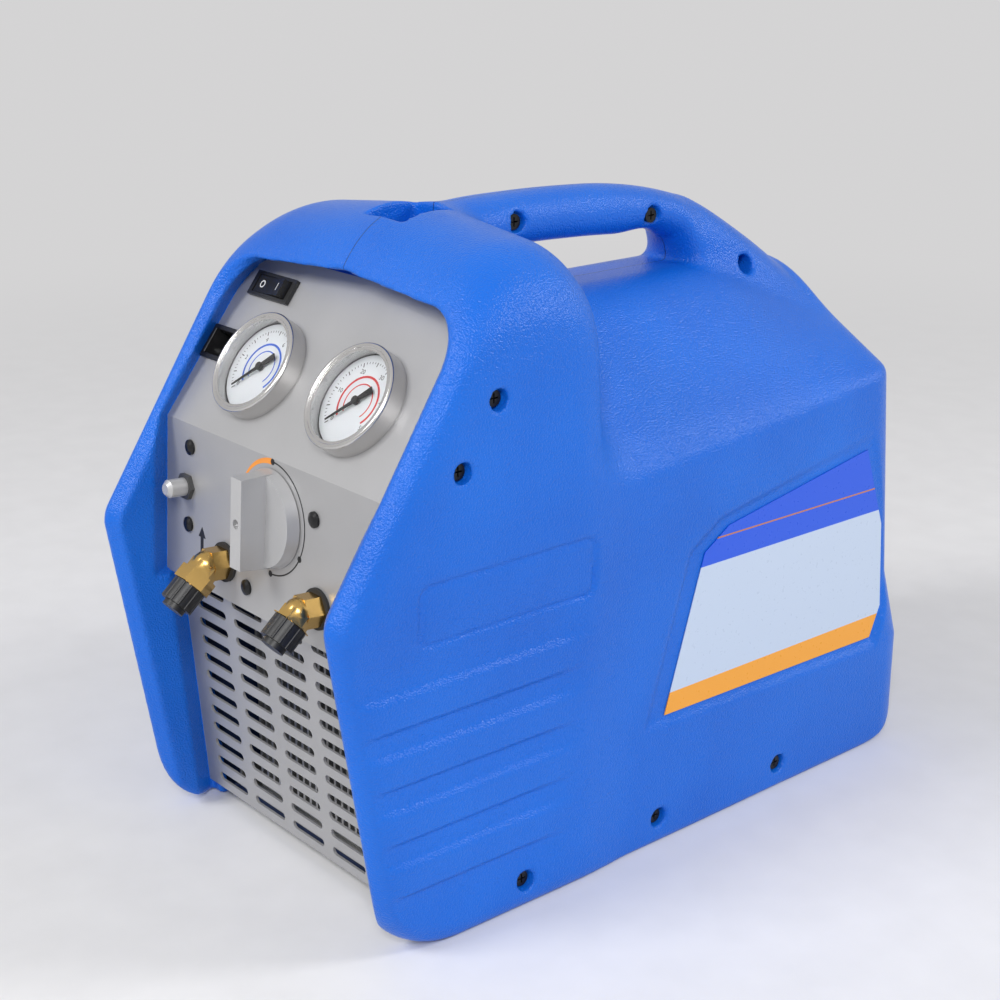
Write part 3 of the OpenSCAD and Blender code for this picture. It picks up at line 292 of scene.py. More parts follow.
grip = {"run": (-92, -58, -18, 18, 52, 90, 98, 104, 110, 121, 142, 175, 189.5, 196),
        "top": (347, 352, 353, 352, 349.5, 342.5, 340.3, 338.6, 337, 332, 319.5, 296, 283, 255),
        "low": (318, 323, 324, 323, 321, 317, 311, 295, 275, 261, 250, 235, 230, 220),
        "half": (24.5, 20.5, 17.5, 16.5, 16.5, 17.5, 18.5, 20.5, 22.5, 26, 32, 38.5, 40.5, 40.5),
        "join": 5.0, "joinMore": 7.0, "joinRun": (-40.0, 110.0)}
window = {"half": 95.0, "flare": 103.8, "flareDeep": 13.0, "top": 318.0, "rise": 6.0, "corner": 25.0,
          "edge": 2.0, "bevelWide": 9.0, "bevelDeep": 6.0, "seat": 2.0, "seatR": 0.5, "ledge": 97.0,
          "ledgeDeep": 14.0, "ledgeZ": (-4.0, 312.0), "hollowFrom": 8.0, "hollowR": 1.0}
inletNotch = {"half": 102.6, "along": 47.0, "tall": 10.5, "deep": 20.0}
wells = {"side": [(-121.5, 279.4), (-143.6, 247.6)], "foot": [-103.0, -2.0, 98.0], "footZ": 15.0,
         "grip": [(-28.3, 339.0), (73.6, 331.0), (137.5, 297.0)], "gripX": 18.5,
         "radius": 5.6, "depth": 7.0, "edge": 0.8, "boss": 8.5, "bossDeep": 13.0}
crownCup = {"y": -87.5, "half": 16.0, "floor": 330.0, "floorR": 2.0, "corner": 3.0, "wall": 4.0, "edge": 0.8}
vent = {"half": 62.0, "z": 100.0, "from": 190.0, "edge": 1.5}


def roundIn(x, r):
    d = np.maximum(x - shell["halfWidth"] + r, 0)
    return r - np.sqrt(np.maximum(r * r - d * d, 0))


def archTop(x):
    r, lean = shell["archR"], math.hypot(1, shell["crown"])
    centreX = shell["halfWidth"] - r
    centreZ = shell["crownZ"] - shell["crown"] * centreX - r * lean
    bow = centreZ + np.sqrt(np.maximum(r * r - (x - centreX) ** 2, 0))
    return np.where(x < centreX + r * shell["crown"] / lean, shell["crownZ"] - shell["crown"] * x, bow)


def softBend(off, b):
    return np.where(off < -b, 0, np.where(off > b, off, (off + b) ** 2 / (4 * b)))


def roofTop(x, ridge):
    fall = (ridge - roof["shoulderZ"]) / (roof["shoulderX"] - roof["ridgeHalf"])
    bend = softBend(x - roof["ridgeHalf"], roof["soft"])
    d = np.clip(x - roof["shoulderX"], 0, roof["shoulderR"])
    return ridge - fall * bend - (roof["shoulderR"] - np.sqrt(roof["shoulderR"] ** 2 - d * d))


def chord(y, z, y0, z0, y1, z1):
    dy, dz = y1 - y0, z1 - z0
    return ((z - z0) * dy - (y - y0) * dz) / np.hypot(dy, dz)


def rearAt(z, lap=0.0):
    return rear["y"] + lap - np.interp(z, rear["levels"], rear["setBack"])


def sideAt(y, z):
    start = shell["blockY"] + rear["drawFrom"]
    draw = np.interp(z, rear["levels"], rear["draw"]) - rear["neckDraw"]
    behind = shell["halfWidth"] - rear["neckDraw"] - draw * np.maximum(y - start, 0) / (rearAt(z) - start)
    blend = ease(shell["blockY"] + rear["blend"][0], shell["blockY"] + rear["blend"][1], y)
    return shell["halfWidth"] * (1 - blend) + behind * blend


def labelFloor(y, z):
    return label["x"] - label["leanZ"] * (z - label["baseZ"]) - label["leanY"] * (y - label["baseY"])


# depth of the ribs, the plate and the label's bed below the side
def sideRelief(y, z):
    cut = np.zeros(np.broadcast(y, z).shape, np.float32)
    crests = list(grooves["heights"]) + [grooves["heights"][-1] + grooves["pitch"]]
    for i, at in enumerate(crests):
        lip = at - grooves["gap"]
        rise = ease(lip - grooves["lip"][0], lip + grooves["lip"][1], z) if i else ease(*grooves["foot"], z)
        if i < len(crests) - 1:
            fall = 1 - ease(at - grooves["crease"], at + grooves["crease"], z)
        else:
            fall = 1 - ease(lip + grooves["head"][0], lip + grooves["head"][1], z)
        stop = shell["blockY"] - grooves["stop"] + i * grooves["step"]
        cut = np.maximum(cut, grooves["depth"] * rise * fall * (1 - ease(stop - grooves["fade"], stop, y)))
    panel = roundedRect(y - plate["y"], z - plate["z"], plate["halfY"], plate["halfZ"], plate["corner"])
    sunk = plate["depth"] * (1 - ease(-plate["soft"], plate["soft"], panel))
    line = plate["line"] * (1 - ease(plate["lineCore"], plate["lineHalf"], np.abs(panel)))
    cut = cut + sunk + line
    film = outlineDistance(y, z, label["points"]) - label["margin"]
    bed = np.maximum(sideAt(y, z) - labelFloor(y, z), 0)
    return cut + bed * (1 - ease(-label["edge"], label["edge"], film))


def alongGrip(y, name):
    run, values = np.array(grip["run"], float), np.array(grip[name], float)
    slopes = np.gradient(values, run)
    i = np.clip(np.searchsorted(run, y) - 1, 0, len(run) - 2)
    size = run[i + 1] - run[i]
    t = clamp01((y - run[i]) / size)
    rise = values[i + 1] - values[i]
    a, b = slopes[i] * size - rise, rise - slopes[i + 1] * size
    return values[i] + rise * t + t * (1 - t) * (a * (1 - t) + b * t)


def gripDistance(x, y, z):
    top, low, half = (alongGrip(y, name) for name in ("top", "low", "half"))
    tall = (top - low) / 2
    ratio = np.sqrt((x / half) ** 2 + ((z - (top + low) / 2) / tall) ** 2)
    inside = (ratio - 1) * np.minimum(half, tall)
    return np.maximum(inside, np.maximum(grip["run"][0] - y, y - grip["run"][-1]))


def faceDepth(y, z, lean):
    return leanPlane(y, z, faces["bendY"], faces["bendZ"], lean)


# distance ahead of the panel and the grille
def aheadOf(y, z):
    grille = leanPlane(y, z, faces["grilleY"], faces["grilleZ"], faces["grilleLean"])
    panel = np.maximum(faceDepth(y, z, faces["slantLean"]), faceDepth(y, z, faces["midLean"]))
    return np.where(z < faces["grilleTop"], grille, panel)


def wingFront(y, z):
    upper = leanPlane(y, z, shell["kneeY"], shell["kneeZ"], shell["slope"])
    lower = leanPlane(y, z, shell["kneeY"], shell["kneeZ"], -shell["wingLean"])
    return softBoth(upper, lower, shell["knee"])


def bodyField(x, y, z):
    top, soft = archTop(x), roundIn(x, shell["edgeR"])
    near, far = roofTop(x, roof["ridgeZ"]), roofTop(x, roof["ridgeZ"] - roof["fall"])
    front = wingFront(y, z) + soft
    block = softBoth(front, z - top, shell["crest"])
    back = chord(y, z, shell["blockY"], top, shell["blockY"] + shell["blockFoot"], near) + soft
    block = softBoth(block, back, shell["brow"])
    drop = softBend(y - roof["breakY"], roof["ease"]) / (roof["endY"] - roof["breakY"])
    cover = z - near - (far - near) * drop
    lipY = rear["y"] - rear["bulge"]
    high = chord(y, z, roof["endY"], far, lipY, rear["bulgeTop"])
    low = chord(y, z, lipY, rear["bulgeTop"], rear["y"], rear["bulgeZ"])
    wall = softBoth(softEither(high, low, rear["rim"]), y - rear["y"], rear["rim"])
    trunk = np.maximum(softBoth(cover, wall, roof["eave"]), shell["trunkY"] - y)
    body = softEither(block, trunk, shell["valley"])
    return softBoth(body, roundIn(x, shell["toeR"]) - z, shell["toe"])


def trueScale(field, step):
    slopes = np.gradient(field, step)
    return field / np.maximum(np.sqrt(sum(s * s for s in slopes)), 1.0)


# air ahead of the panel: the window flares towards it and has a bevel at the wings' front
def windowAir(x, y, z, ahead):
    flare = (window["flare"] - window["half"]) * clamp01(1 - ahead / window["flareDeep"])
    bevel = window["bevelWide"] * clamp01(1 + wingFront(y, z) / window["bevelDeep"])
    half = window["half"] + np.maximum(flare, bevel)
    lid = window["top"] + window["rise"] * (1 - x / window["half"])
    mouth = roundBoth(x - half, z - lid, window["corner"])
    return roundBoth(mouth, -(ahead + window["seat"]), window["seatR"])


def screwWells(x, y, z):
    bosses = np.full(np.broadcast(x, y, z).shape, np.inf, np.float32)
    holes = bosses.copy()
    spots = [(a, b, shell["halfWidth"]) for a, b in wells["side"]]
    spots += [(a, wells["footZ"], float(sideAt(np.array(a), wells["footZ"]))) for a in wells["foot"]]
    for a, b, surface in spots:
        off = np.hypot(y - a, z - b)
        bosses = np.minimum(bosses, np.maximum(off - wells["boss"], surface - wells["bossDeep"] - x))
        holes = np.minimum(holes, np.maximum(off - wells["radius"], surface - wells["depth"] - x))
    for a, b in wells["grip"]:
        off = np.hypot(y - a, z - b)
        holes = np.minimum(holes, np.maximum(off - wells["radius"], wells["gripX"] - wells["depth"] - x))
    return bosses, holes


def housingField(x, y, z, step):
    x = np.abs(x)
    body = trueScale(bodyField(x, y, z), step)
    flank = x - sideAt(y, z)
    body = softBoth(body, roundBoth(flank, y - rearAt(z, rear["lap"]), rear["cornerR"]), rear["cornerSoft"])
    body = np.maximum(body, flank + sideRelief(y, z))
    join = grip["join"] + grip["joinMore"] * ease(*grip["joinRun"], y)
    whole = softEither(body, gripDistance(x, y, z), join)
    whole = roundBoth(whole, z - shell["height"], shell["flatR"])

    ahead = aheadOf(y, z)
    bosses, holes = screwWells(x, y, z)
    cup = roundedRect(x, y - crownCup["y"], crownCup["half"], crownCup["half"], crownCup["corner"])
    cupAir = roundBoth(cup, crownCup["floor"] - z, crownCup["floorR"])
    cupWall = np.maximum(cup - crownCup["wall"], crownCup["floor"] - crownCup["wall"] - z)
    hollow = roundBoth(body + shell["wall"], ahead + window["hollowFrom"], window["hollowR"])
    hollow = allOf(hollow, -bosses, -cupWall)
    through = allOf(x - window["ledge"], -(ahead + window["ledgeDeep"]), ahead,
                    window["ledgeZ"][0] - z, z - window["ledgeZ"][1])
    slant = faceDepth(y, z, faces["slantLean"])
    lean = math.radians(faces["slantLean"])
    along = (y - faces["bendY"]) * math.sin(lean) + (z - faces["bendZ"]) * math.cos(lean)
    notch = allOf(x - inletNotch["half"], np.abs(along - inletNotch["along"]) - inletNotch["tall"],
                  slant, -inletNotch["deep"] - slant)
    ventAir = allOf(x - vent["half"], np.abs(z - vent["z"]) - vent["half"], vent["from"] - y)

    field = without(whole, windowAir(x, y, z, ahead), window["edge"])
    field = allOf(field, -hollow, -through, -notch)
    field = without(field, ventAir, vent["edge"])
    field = without(field, holes, wells["edge"])
    return without(field, cupAir, crownCup["edge"])


# takes off what lies beyond a plane, on the side its normal points to
def cutAway(work, spot, normal):
    everything = work.verts[:] + work.edges[:] + work.faces[:]
    return bmesh.ops.bisect_plane(work, geom=everything, dist=1e-7, plane_co=spot, plane_no=normal,
                                  clear_outer=True)


def housingMesh():
    step = shell["voxel"]
    low = np.array(shell["low"])
    axes = []
    for start, span in zip(low, shell["span"]):
        axes.append((start + step * np.arange(math.ceil(span / step))).astype(np.float32))
    x, y, z = np.ix_(*axes)
    field = housingField(x, y, z, step).astype(np.float32)
    field[0] = np.maximum(field[0], 1.0)
    volume = openvdb.FloatGrid(10.0)
    volume.copyFromArray(np.ascontiguousarray(field))
    points, quads = volume.convertToQuads(0.0)
    print("housing half:", len(points), "points", len(quads), "faces")
    mesh = bpy.data.meshes.new("housingHalf")
    mesh.from_pydata((points * step + low) * mm, [], quads)
    work = bmesh.new()
    work.from_mesh(mesh)
    cut = cutAway(work, (shell["seam"] * mm, 0, 0), (-1, 0, 0))
    rim = [e for e in cut["geom_cut"] if isinstance(e, bmesh.types.BMEdge)]
    filled = bmesh.ops.triangle_fill(work, use_beauty=True, use_dissolve=False, edges=rim)
    bmesh.ops.recalc_face_normals(work, faces=work.faces)
    for face in work.faces:
        face.smooth = True
    for edge in rim:
        edge.smooth = False
    print("seam faces:", len(filled["geom"]))
    work.to_mesh(mesh)
    work.free()
    return mesh


def addObject(name, mesh, body, mat):
    obj = bpy.data.objects.new(name, mesh)
    bpy.context.scene.collection.objects.link(obj)
    obj.data.materials.clear()
    obj.data.materials.append(mat)
    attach(obj, body)
    return obj


# painted shade: a dark colour for the faces inside the moulding and the floor behind the grille, by how deep
# they lie, standing in for the shade inside the housing (the moulding is blue there too)
insideShade = {"colour": (0.005, 0.022, 0.09), "rough": 0.6, "deep": 3.0, "behind": 7.0, "underCup": 2.0,
          "sillZ": 14.0, "sillUp": -0.5, "sillBehind": 2.0, "sillEnd": 195.0,
          "wellGap": 1.6, "wellDeep": 2.0, "wellTop": 280.0}


def paintInsideShade(obj, finish):
    spots = np.empty(len(obj.data.polygons) * 3, np.float32)
    obj.data.polygons.foreach_get("center", spots)
    x, y, z = (spots.reshape(-1, 3) / mm).T
    ahead = aheadOf(y, z)
    flank = np.abs(x) - sideAt(y, z)
    corner = roundBoth(flank, y - rearAt(z, rear["lap"]), rear["cornerR"])
    depth = allOf(bodyField(np.abs(x), y, z), corner, flank + sideRelief(y, z))
    # faces deep inside the moulding take the painted shade
    inner = (depth < -insideShade["deep"]) & (ahead < -insideShade["behind"])
    inner &= z < crownCup["floor"] - insideShade["underCup"]
    obj.data.polygons.foreach_get("normal", spots)
    # the floor behind the grille takes the painted shade too
    sill = (z < insideShade["sillZ"]) & (spots[2::3] > insideShade["sillUp"]) & (ahead < -insideShade["sillBehind"])
    inner |= sill & (np.abs(x) < window["ledge"]) & (y < insideShade["sillEnd"])
    pastWell = (flank < -wells["depth"] - insideShade["wellDeep"]) & (z < insideShade["wellTop"])
    for a, b in wells["side"] + [(a, wells["footZ"]) for a in wells["foot"]] + wells["grip"]:
        inner &= (np.hypot(y - a, z - b) > wells["radius"] + insideShade["wellGap"]) | pastWell
    obj.data.materials.append(finish)
    obj.data.polygons.foreach_set("material_index", inner.astype(np.int32))


def buildHousing():
    finish = housingBlue()
    # dark finish that paints the shade inside the moulding
    inside = plainFinish("housingInsideShade", insideShade["colour"], insideShade["rough"])
    half = housingMesh()
    right = addObject("rightHousing", half, "housing", finish)
    paintInsideShade(right, inside)
    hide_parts("right_shell")
    other = half.copy()
    other.name = "housingHalfLeft"
    other.transform(Matrix.Scale(-1, 4, (1, 0, 0)))
    other.flip_normals()
    left = addObject("leftHousing", other, "housing", finish)
    paintInsideShade(left, inside)
    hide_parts("left_shell")
    print("housing done")


# finishes of the carried-over pieces
finishes = {
    "panel_metal": dict(colour=(0.43, 0.428, 0.432), rough=0.46, metal=0.45, grain=1400.0, bump=0.06,
                        vary=0.03),
    "black_steel": dict(colour=(0.012, 0.012, 0.013), rough=0.3, metal=0.4, grain=1200.0, bump=0.1),
    "black_plastic": dict(colour=(0.013, 0.013, 0.014), rough=0.4, grain=1600.0, bump=0.15),
    "dark_plastic": dict(colour=(0.05, 0.05, 0.05), rough=0.45),
    "grey_plastic": dict(colour=(0.5, 0.5, 0.505), rough=0.36, metal=0.35, grain=1800.0, bump=0.1, vary=0.04),
    "bright_steel": dict(colour=(0.6, 0.6, 0.6), rough=0.25, metal=1.0),
    "brass": dict(colour=(0.62, 0.4, 0.13), rough=0.24, metal=1.0, grain=700.0, bump=0.06, vary=0.12),
    "rubber": dict(colour=(0.018, 0.018, 0.018), rough=0.75),
    "bezel_chrome": dict(colour=(0.6, 0.59, 0.58), rough=0.24, metal=1.0, bump=0.0, vary=0.03),
    # dial white tinted bluish: a painted reflection of the surroundings on the dial face
    "dial_white": dict(colour=(0.78, 0.81, 0.84), rough=0.5, bump=0.02, vary=0.02),
    "needle_black": dict(colour=(0.01, 0.01, 0.01), rough=0.4),
    "motor_paint": dict(colour=(0.05, 0.05, 0.055), rough=0.5),
    "cast_alloy": dict(colour=(0.55, 0.55, 0.55), rough=0.42, metal=0.9, grain=500.0, bump=0.2),
    "zinc_steel": dict(colour=(0.48, 0.48, 0.47), rough=0.4, metal=0.9),
    "copper": dict(colour=(0.62, 0.28, 0.14), rough=0.3, metal=1.0)}


glass = {"wobble": 60.0, "rough": (0.0, 0.03), "bend": 1.2}


def lensClear():
    mat, tree, shader = newMaterial("lensClear")
    wobble = noiseOut(tree, objectCoords(tree), glass["wobble"])
    tree.links.new(spreadOut(tree, wobble, *glass["rough"]), shader.inputs["Roughness"])
    shader.inputs["Base Color"].default_value = (1, 1, 1, 1)
    shader.inputs["Transmission Weight"].default_value = 1.0
    shader.inputs["IOR"].default_value = glass["bend"]
    return mat


# plain colour fields of the side label, by height in metres
labelFields = {"blue": (0.012, 0.1, 0.75), "white": (0.55, 0.65, 0.81), "orange": (0.9, 0.38, 0.035),
               "line": (0.5, 0.19, 0.1), "lean": 0.016, "blueFrom": 0.1562, "orangeTo": 0.0889,
               "lineAt": 0.1705, "lineHalf": 0.00045, "grain": 400.0, "rough": (0.24, 0.34)}


def labelFilm():
    mat, tree, shader = newMaterial("labelFilm")
    vector = objectCoords(tree)
    y, z = partOut(tree, vector, "Y"), partOut(tree, vector, "Z")
    level = mathOut(tree, "MULTIPLY_ADD", y, labelFields["lean"], z)
    high = mathOut(tree, "GREATER_THAN", level, labelFields["blueFrom"])
    low = mathOut(tree, "LESS_THAN", level, labelFields["orangeTo"])
    onLine = mathOut(tree, "COMPARE", level, labelFields["lineAt"], labelFields["lineHalf"])
    colour = (*labelFields["white"], 1)
    for where, name in ((high, "blue"), (low, "orange"), (onLine, "line")):
        colour = mixOut(tree, where, colour, (*labelFields[name], 1))
    tree.links.new(colour, shader.inputs["Base Color"])
    fine = noiseOut(tree, vector, labelFields["grain"])
    tree.links.new(spreadOut(tree, fine, *labelFields["rough"]), shader.inputs["Roughness"])
    return mat


# widths of the softened edges, in millimetres, and the pieces of flat sheet
bevels = {"selector_knob": 1.4, "control_panel": 0.5, "front_grille": 0.4, "rear_grille": 0.3,
          "switch_frame": 0.6, "switch_rocker": 0.7, "mains_inlet": 0.6, "breaker_button": 0.6,
          "breaker_body": 0.4, "inlet_elbow": 0.6, "outlet_elbow": 0.6, "inlet_cap": 0.5, "outlet_cap": 0.5,
          "panel_screws": 0.4, "shell_screws": 0.4, "low_gauge_bezel": 0.3, "high_gauge_bezel": 0.3,
          "compressor_head": 1.5, "compressor_crankcase": 2.0}
edges = {"weld": 0.00001, "flat": 2.0, "width": 0.15, "segments": 3, "from": 40.0}
sheets = ("control_panel", "front_grille", "rear_grille", "base_plate", "fan_bracket")


def dressNodes():
    mats = {name: plainFinish(name, **spec) for name, spec in finishes.items()}
    mats["lens_clear"] = lensClear()
    mats["label_film"] = labelFilm()
    for entry in frame["record"]["subparts"]:
        obj = nodes[entry["node"]]
        if entry["material_slot"] not in mats:
            continue
        obj.data.materials.clear()
        obj.data.materials.append(mats[entry["material_slot"]])
        if "custom_normal" in obj.data.attributes:
            obj.data.attributes.remove(obj.data.attributes["custom_normal"])
        flat = entry["node"] in sheets
        if flat:
            obj.data.shade_flat()
        else:
            obj.data.shade_smooth()
        weld = obj.modifiers.new("weld", "WELD")
        weld.merge_threshold = edges["weld"]
        if flat:
            merge = obj.modifiers.new("flatFaces", "DECIMATE")
            merge.decimate_type = "DISSOLVE"
            merge.angle_limit = math.radians(edges["flat"])
        bevel = obj.modifiers.new("softEdges", "BEVEL")
        bevel.width = bevels.get(entry["node"], edges["width"]) * mm
        bevel.segments = edges["segments"]
        bevel.limit_method = "ANGLE"
        bevel.angle_limit = math.radians(edges["from"])
        bevel.harden_normals = not flat
    print("finishes done")
    return mats


# thin printed marks, drawn in millimetres on a face
layer = {"thick": 0.05, "lift": 0.02, "figures": 0.02, "arcStep": 4.0, "arcLeast": 4, "dotSides": 24}


def addShape(work, points):
    low = [work.verts.new((u * mm, v * mm, 0)) for u, v in points]
    top = [work.verts.new((u * mm, v * mm, layer["thick"] * mm)) for u, v in points]
    work.faces.new(low[::-1])
    work.faces.new(top)
    for i in range(len(points)):
        j = (i + 1) % len(points)
        work.faces.new((low[i], low[j], top[j], top[i]))


def printMesh(name, shapes, place):
    work = bmesh.new()
    for points in shapes:
        addShape(work, points)
    bmesh.ops.recalc_face_normals(work, faces=work.faces)
    mesh = bpy.data.meshes.new(name)
    work.to_mesh(mesh)
    work.free()
    mesh.transform(place)
    return mesh


def polar(r, degrees):
    a = math.radians(degrees)
    return (r * math.cos(a), r * math.sin(a))


def arcShape(inner, outer, start, stop, taper=1.0):
    steps = max(int(abs(stop - start) / layer["arcStep"]), layer["arcLeast"])
    turns = [start + (stop - start) * i / steps for i in range(steps + 1)]
    middle, half = (inner + outer) / 2, (outer - inner) / 2
    grow = [taper + (1 - taper) * i / steps for i in range(steps + 1)]
    return [polar(middle + half * g, t) for t, g in zip(turns, grow)] + \
        [polar(middle - half * g, t) for t, g in reversed(list(zip(turns, grow)))]


def dotShape(u, v, r):
    sides = layer["dotSides"]
    return [(u + x, v + y) for x, y in (polar(r, 360 * i / sides) for i in range(sides))]


def tickShape(inner, outer, width, degrees):
    a = math.radians(degrees)
    side = (-math.sin(a) * width / 2, math.cos(a) * width / 2)
    (x0, y0), (x1, y1) = polar(inner, degrees), polar(outer, degrees)
    return [(x0 - side[0], y0 - side[1]), (x1 - side[0], y1 - side[1]),
            (x1 + side[0], y1 + side[1]), (x0 + side[0], y0 + side[1])]


def numberMesh(name, marks, size, place):
    work = bmesh.new()
    for words, u, v in marks:
        curve = bpy.data.curves.new("figures", "FONT")
        curve.body = words
        curve.size = size * mm
        curve.extrude = layer["figures"] * mm
        curve.align_x = "CENTER"
        curve.align_y = "CENTER"
        curve.resolution_u = 3
        obj = bpy.data.objects.new("figures", curve)
        bpy.context.scene.collection.objects.link(obj)
        shown = obj.evaluated_get(bpy.context.evaluated_depsgraph_get())
        figures = bpy.data.meshes.new_from_object(shown)
        figures.transform(Matrix.Translation((u * mm, v * mm, layer["figures"] * mm)))
        work.from_mesh(figures)
        bpy.data.objects.remove(obj)
        bpy.data.curves.remove(curve)
        bpy.data.meshes.remove(figures)
    mesh = bpy.data.meshes.new(name)
    work.to_mesh(mesh)
    work.free()
    mesh.transform(place)
    return mesh


# dial scales: coloured bands, ticks and figures
dials = {"along": 41.5, "out": 2.44, "zeroAt": 225.0, "sweep": 270.0, "divisions": 50, "every": 5,
         "wide": (0.5, 0.3), "outer": 21.8, "minor": 20.7, "major": 19.4, "figureR": 16.9, "figureSize": 3.6}
gauges = [
    {"name": "lowGauge", "x": -42.7, "ink": (0.02, 0.12, 0.62),
     "figures": ("0", "2", "4", "6", "8", "10"),
     "bands": [(13.0, 14.2, 225.0, -45.0), (9.2, 9.9, 225.0, -45.0)]},
    {"name": "highGauge", "x": 42.7, "ink": (0.62, 0.03, 0.03),
     "figures": ("0", "10", "20", "30", "40", "50"),
     "bands": [(13.0, 14.2, 225.0, -45.0), (18.6, 19.2, -12.0, -45.0), (9.2, 9.9, 225.0, -45.0)]}]
inks = {"inkBlack": (0.012, 0.012, 0.013), "inkOrange": (0.85, 0.3, 0.04), "inkWhite": (0.75, 0.75, 0.74)}


def inkFinish(name, colour):
    return plainFinish(name, colour, 0.5, grain=2500.0, bump=0.03, vary=0.06)


def printDials(black):
    for gauge in gauges:
        place = slantMatrix(gauge["x"], dials["along"], dials["out"])
        ticks = []
        for i in range(dials["divisions"] + 1):
            minor = i % dials["every"] > 0
            inner = dials["minor"] if minor else dials["major"]
            turn = dials["zeroAt"] - dials["sweep"] * i / dials["divisions"]
            ticks.append(tickShape(inner, dials["outer"], dials["wide"][minor], turn))
        addObject(gauge["name"] + "Ticks", printMesh("ticks", ticks, place), "housing", black)
        marks = []
        for i, words in enumerate(gauge["figures"]):
            turn = dials["zeroAt"] - dials["sweep"] * i / (len(gauge["figures"]) - 1)
            marks.append((words, *polar(dials["figureR"], turn)))
        figures = numberMesh("figures", marks, dials["figureSize"], place)
        addObject(gauge["name"] + "Figures", figures, "housing", black)
        bands = [arcShape(*band) for band in gauge["bands"]]
        colour = inkFinish(gauge["name"] + "Ink", gauge["ink"])
        addObject(gauge["name"] + "Bands", printMesh("bands", bands, place), "housing", colour)
    print("dials printed")


# marks on the control face: selector ring, flow arrow, switch signs
knobRing = {"along": -31.4, "radius": 29.7, "width": 0.8, "black": (90.0, -90.0),
            "dots": ((90, 1.7), (-30, 1.7), (-90, 1.7), (160, 1.3)),
            "orange": (164.0, 92.0), "orangeWidth": 3.2, "taper": 0.15}
arrow = {"x": -66.6, "low": -69.0, "high": -54.0, "half": 1.5, "head": 3.6, "headLength": 6.0}
rockerMarks = {"x": -71.7, "along": 85.5, "pivot": -1.0, "tilt": 9.0, "slope": 7.2, "off": 8.6, "middle": 3.4,
               "ring": (1.5, 2.2), "bar": (0.35, 2.2)}


def printPanel(black, orange, white):
    place = midMatrix(0.0, knobRing["along"], layer["lift"])
    r, half = knobRing["radius"], knobRing["width"] / 2
    shapes = [arcShape(r - half, r + half, *knobRing["black"])]
    shapes += [dotShape(*polar(r, turn), size) for turn, size in knobRing["dots"]]
    addObject("selectorRing", printMesh("selectorRing", shapes, place), "housing", black)
    wide = knobRing["orangeWidth"] / 2
    tail = [arcShape(r - wide, r + wide, *knobRing["orange"], knobRing["taper"])]
    addObject("selectorTail", printMesh("selectorTail", tail, place), "housing", orange)
    neck = arrow["high"] - arrow["headLength"]
    points = [(-arrow["half"], arrow["low"]), (arrow["half"], arrow["low"]), (arrow["half"], neck),
              (arrow["head"], neck), (0.0, arrow["high"]), (-arrow["head"], neck), (-arrow["half"], neck)]
    mesh = printMesh("flowArrow", [points], midMatrix(arrow["x"], 0.0, layer["lift"]))
    addObject("flowArrow", mesh, "housing", black)
    base = slantMatrix(rockerMarks["x"], rockerMarks["along"], rockerMarks["pivot"])
    base = base @ Matrix.Rotation(math.radians(-rockerMarks["tilt"]), 4, "Y")
    ring = [arcShape(*rockerMarks["ring"], turn, turn + 180.0) for turn in (0.0, 180.0)]
    u, v = rockerMarks["bar"]
    bar = [[(-u, -v), (u, -v), (u, v), (-u, v)]]
    rise = rockerMarks["middle"] + rockerMarks["off"] * math.tan(math.radians(rockerMarks["slope"]))
    for name, side, shapes in (("offSign", -1, ring), ("onSign", 1, bar)):
        spot = Matrix.Translation((side * rockerMarks["off"] * mm, 0, rise * mm))
        spot = spot @ Matrix.Rotation(math.radians(-side * rockerMarks["slope"]), 4, "Y")
        addObject(name, printMesh(name, shapes, base @ spot), "power_rocker", white)
    print("panel printed")


# label film that follows the side and bends round the rear corner
film = {"edges": (3.0, 3.0, 4.0, 6.0, 6.0, 8.0, 12.0), "from": (-20.0, 60.0), "count": (74, 48), "step": 3.0,
        "thick": 0.45, "lift": 0.25, "sharp": 0.6}


def filmSurface(y, z):
    r = rear["cornerR"]
    over = min(max(y - float(rearAt(z, rear["lap"])) + r, 0.0), r)
    corner = float(sideAt(np.array(y), z)) - r + math.sqrt(r * r - over * over)
    return min(labelFloor(y, z), corner) + film["lift"]


def buildFilm(finish):
    work = bmesh.new()
    spans = zip(film["from"], film["count"])
    ys, zs = ([low + film["step"] * i for i in range(count)] for low, count in spans)
    grid = [[work.verts.new((0, y * mm, z * mm)) for z in zs] for y in ys]
    for i in range(len(ys) - 1):
        for j in range(len(zs) - 1):
            work.faces.new((grid[i][j], grid[i + 1][j], grid[i + 1][j + 1], grid[i][j + 1]))
    points = label["points"]
    for (y0, z0), (y1, z1), edge in zip(points, points[1:] + points[:1], film["edges"]):
        out = Vector((0, z1 - z0, y0 - y1)).normalized()
        spot = Vector((0, y0, z0)) - out * edge
        cutAway(work, spot * mm, out)
    for vert in work.verts:
        vert.co.x = filmSurface(vert.co.y / mm, vert.co.z / mm) * mm
    bmesh.ops.solidify(work, geom=work.faces[:], thickness=-film["thick"] * mm)
    bmesh.ops.recalc_face_normals(work, faces=work.faces)
    for face in work.faces:
        face.smooth = True
    for edge in work.edges:
        edge.smooth = edge.calc_face_angle(0.0) < film["sharp"]
    mesh = bpy.data.meshes.new("labelSheet")
    work.to_mesh(mesh)
    work.free()
    sheet = addObject("labelSheet", mesh, "housing", finish)
    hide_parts("side_label")
    print("label film:", len(mesh.polygons), "faces")


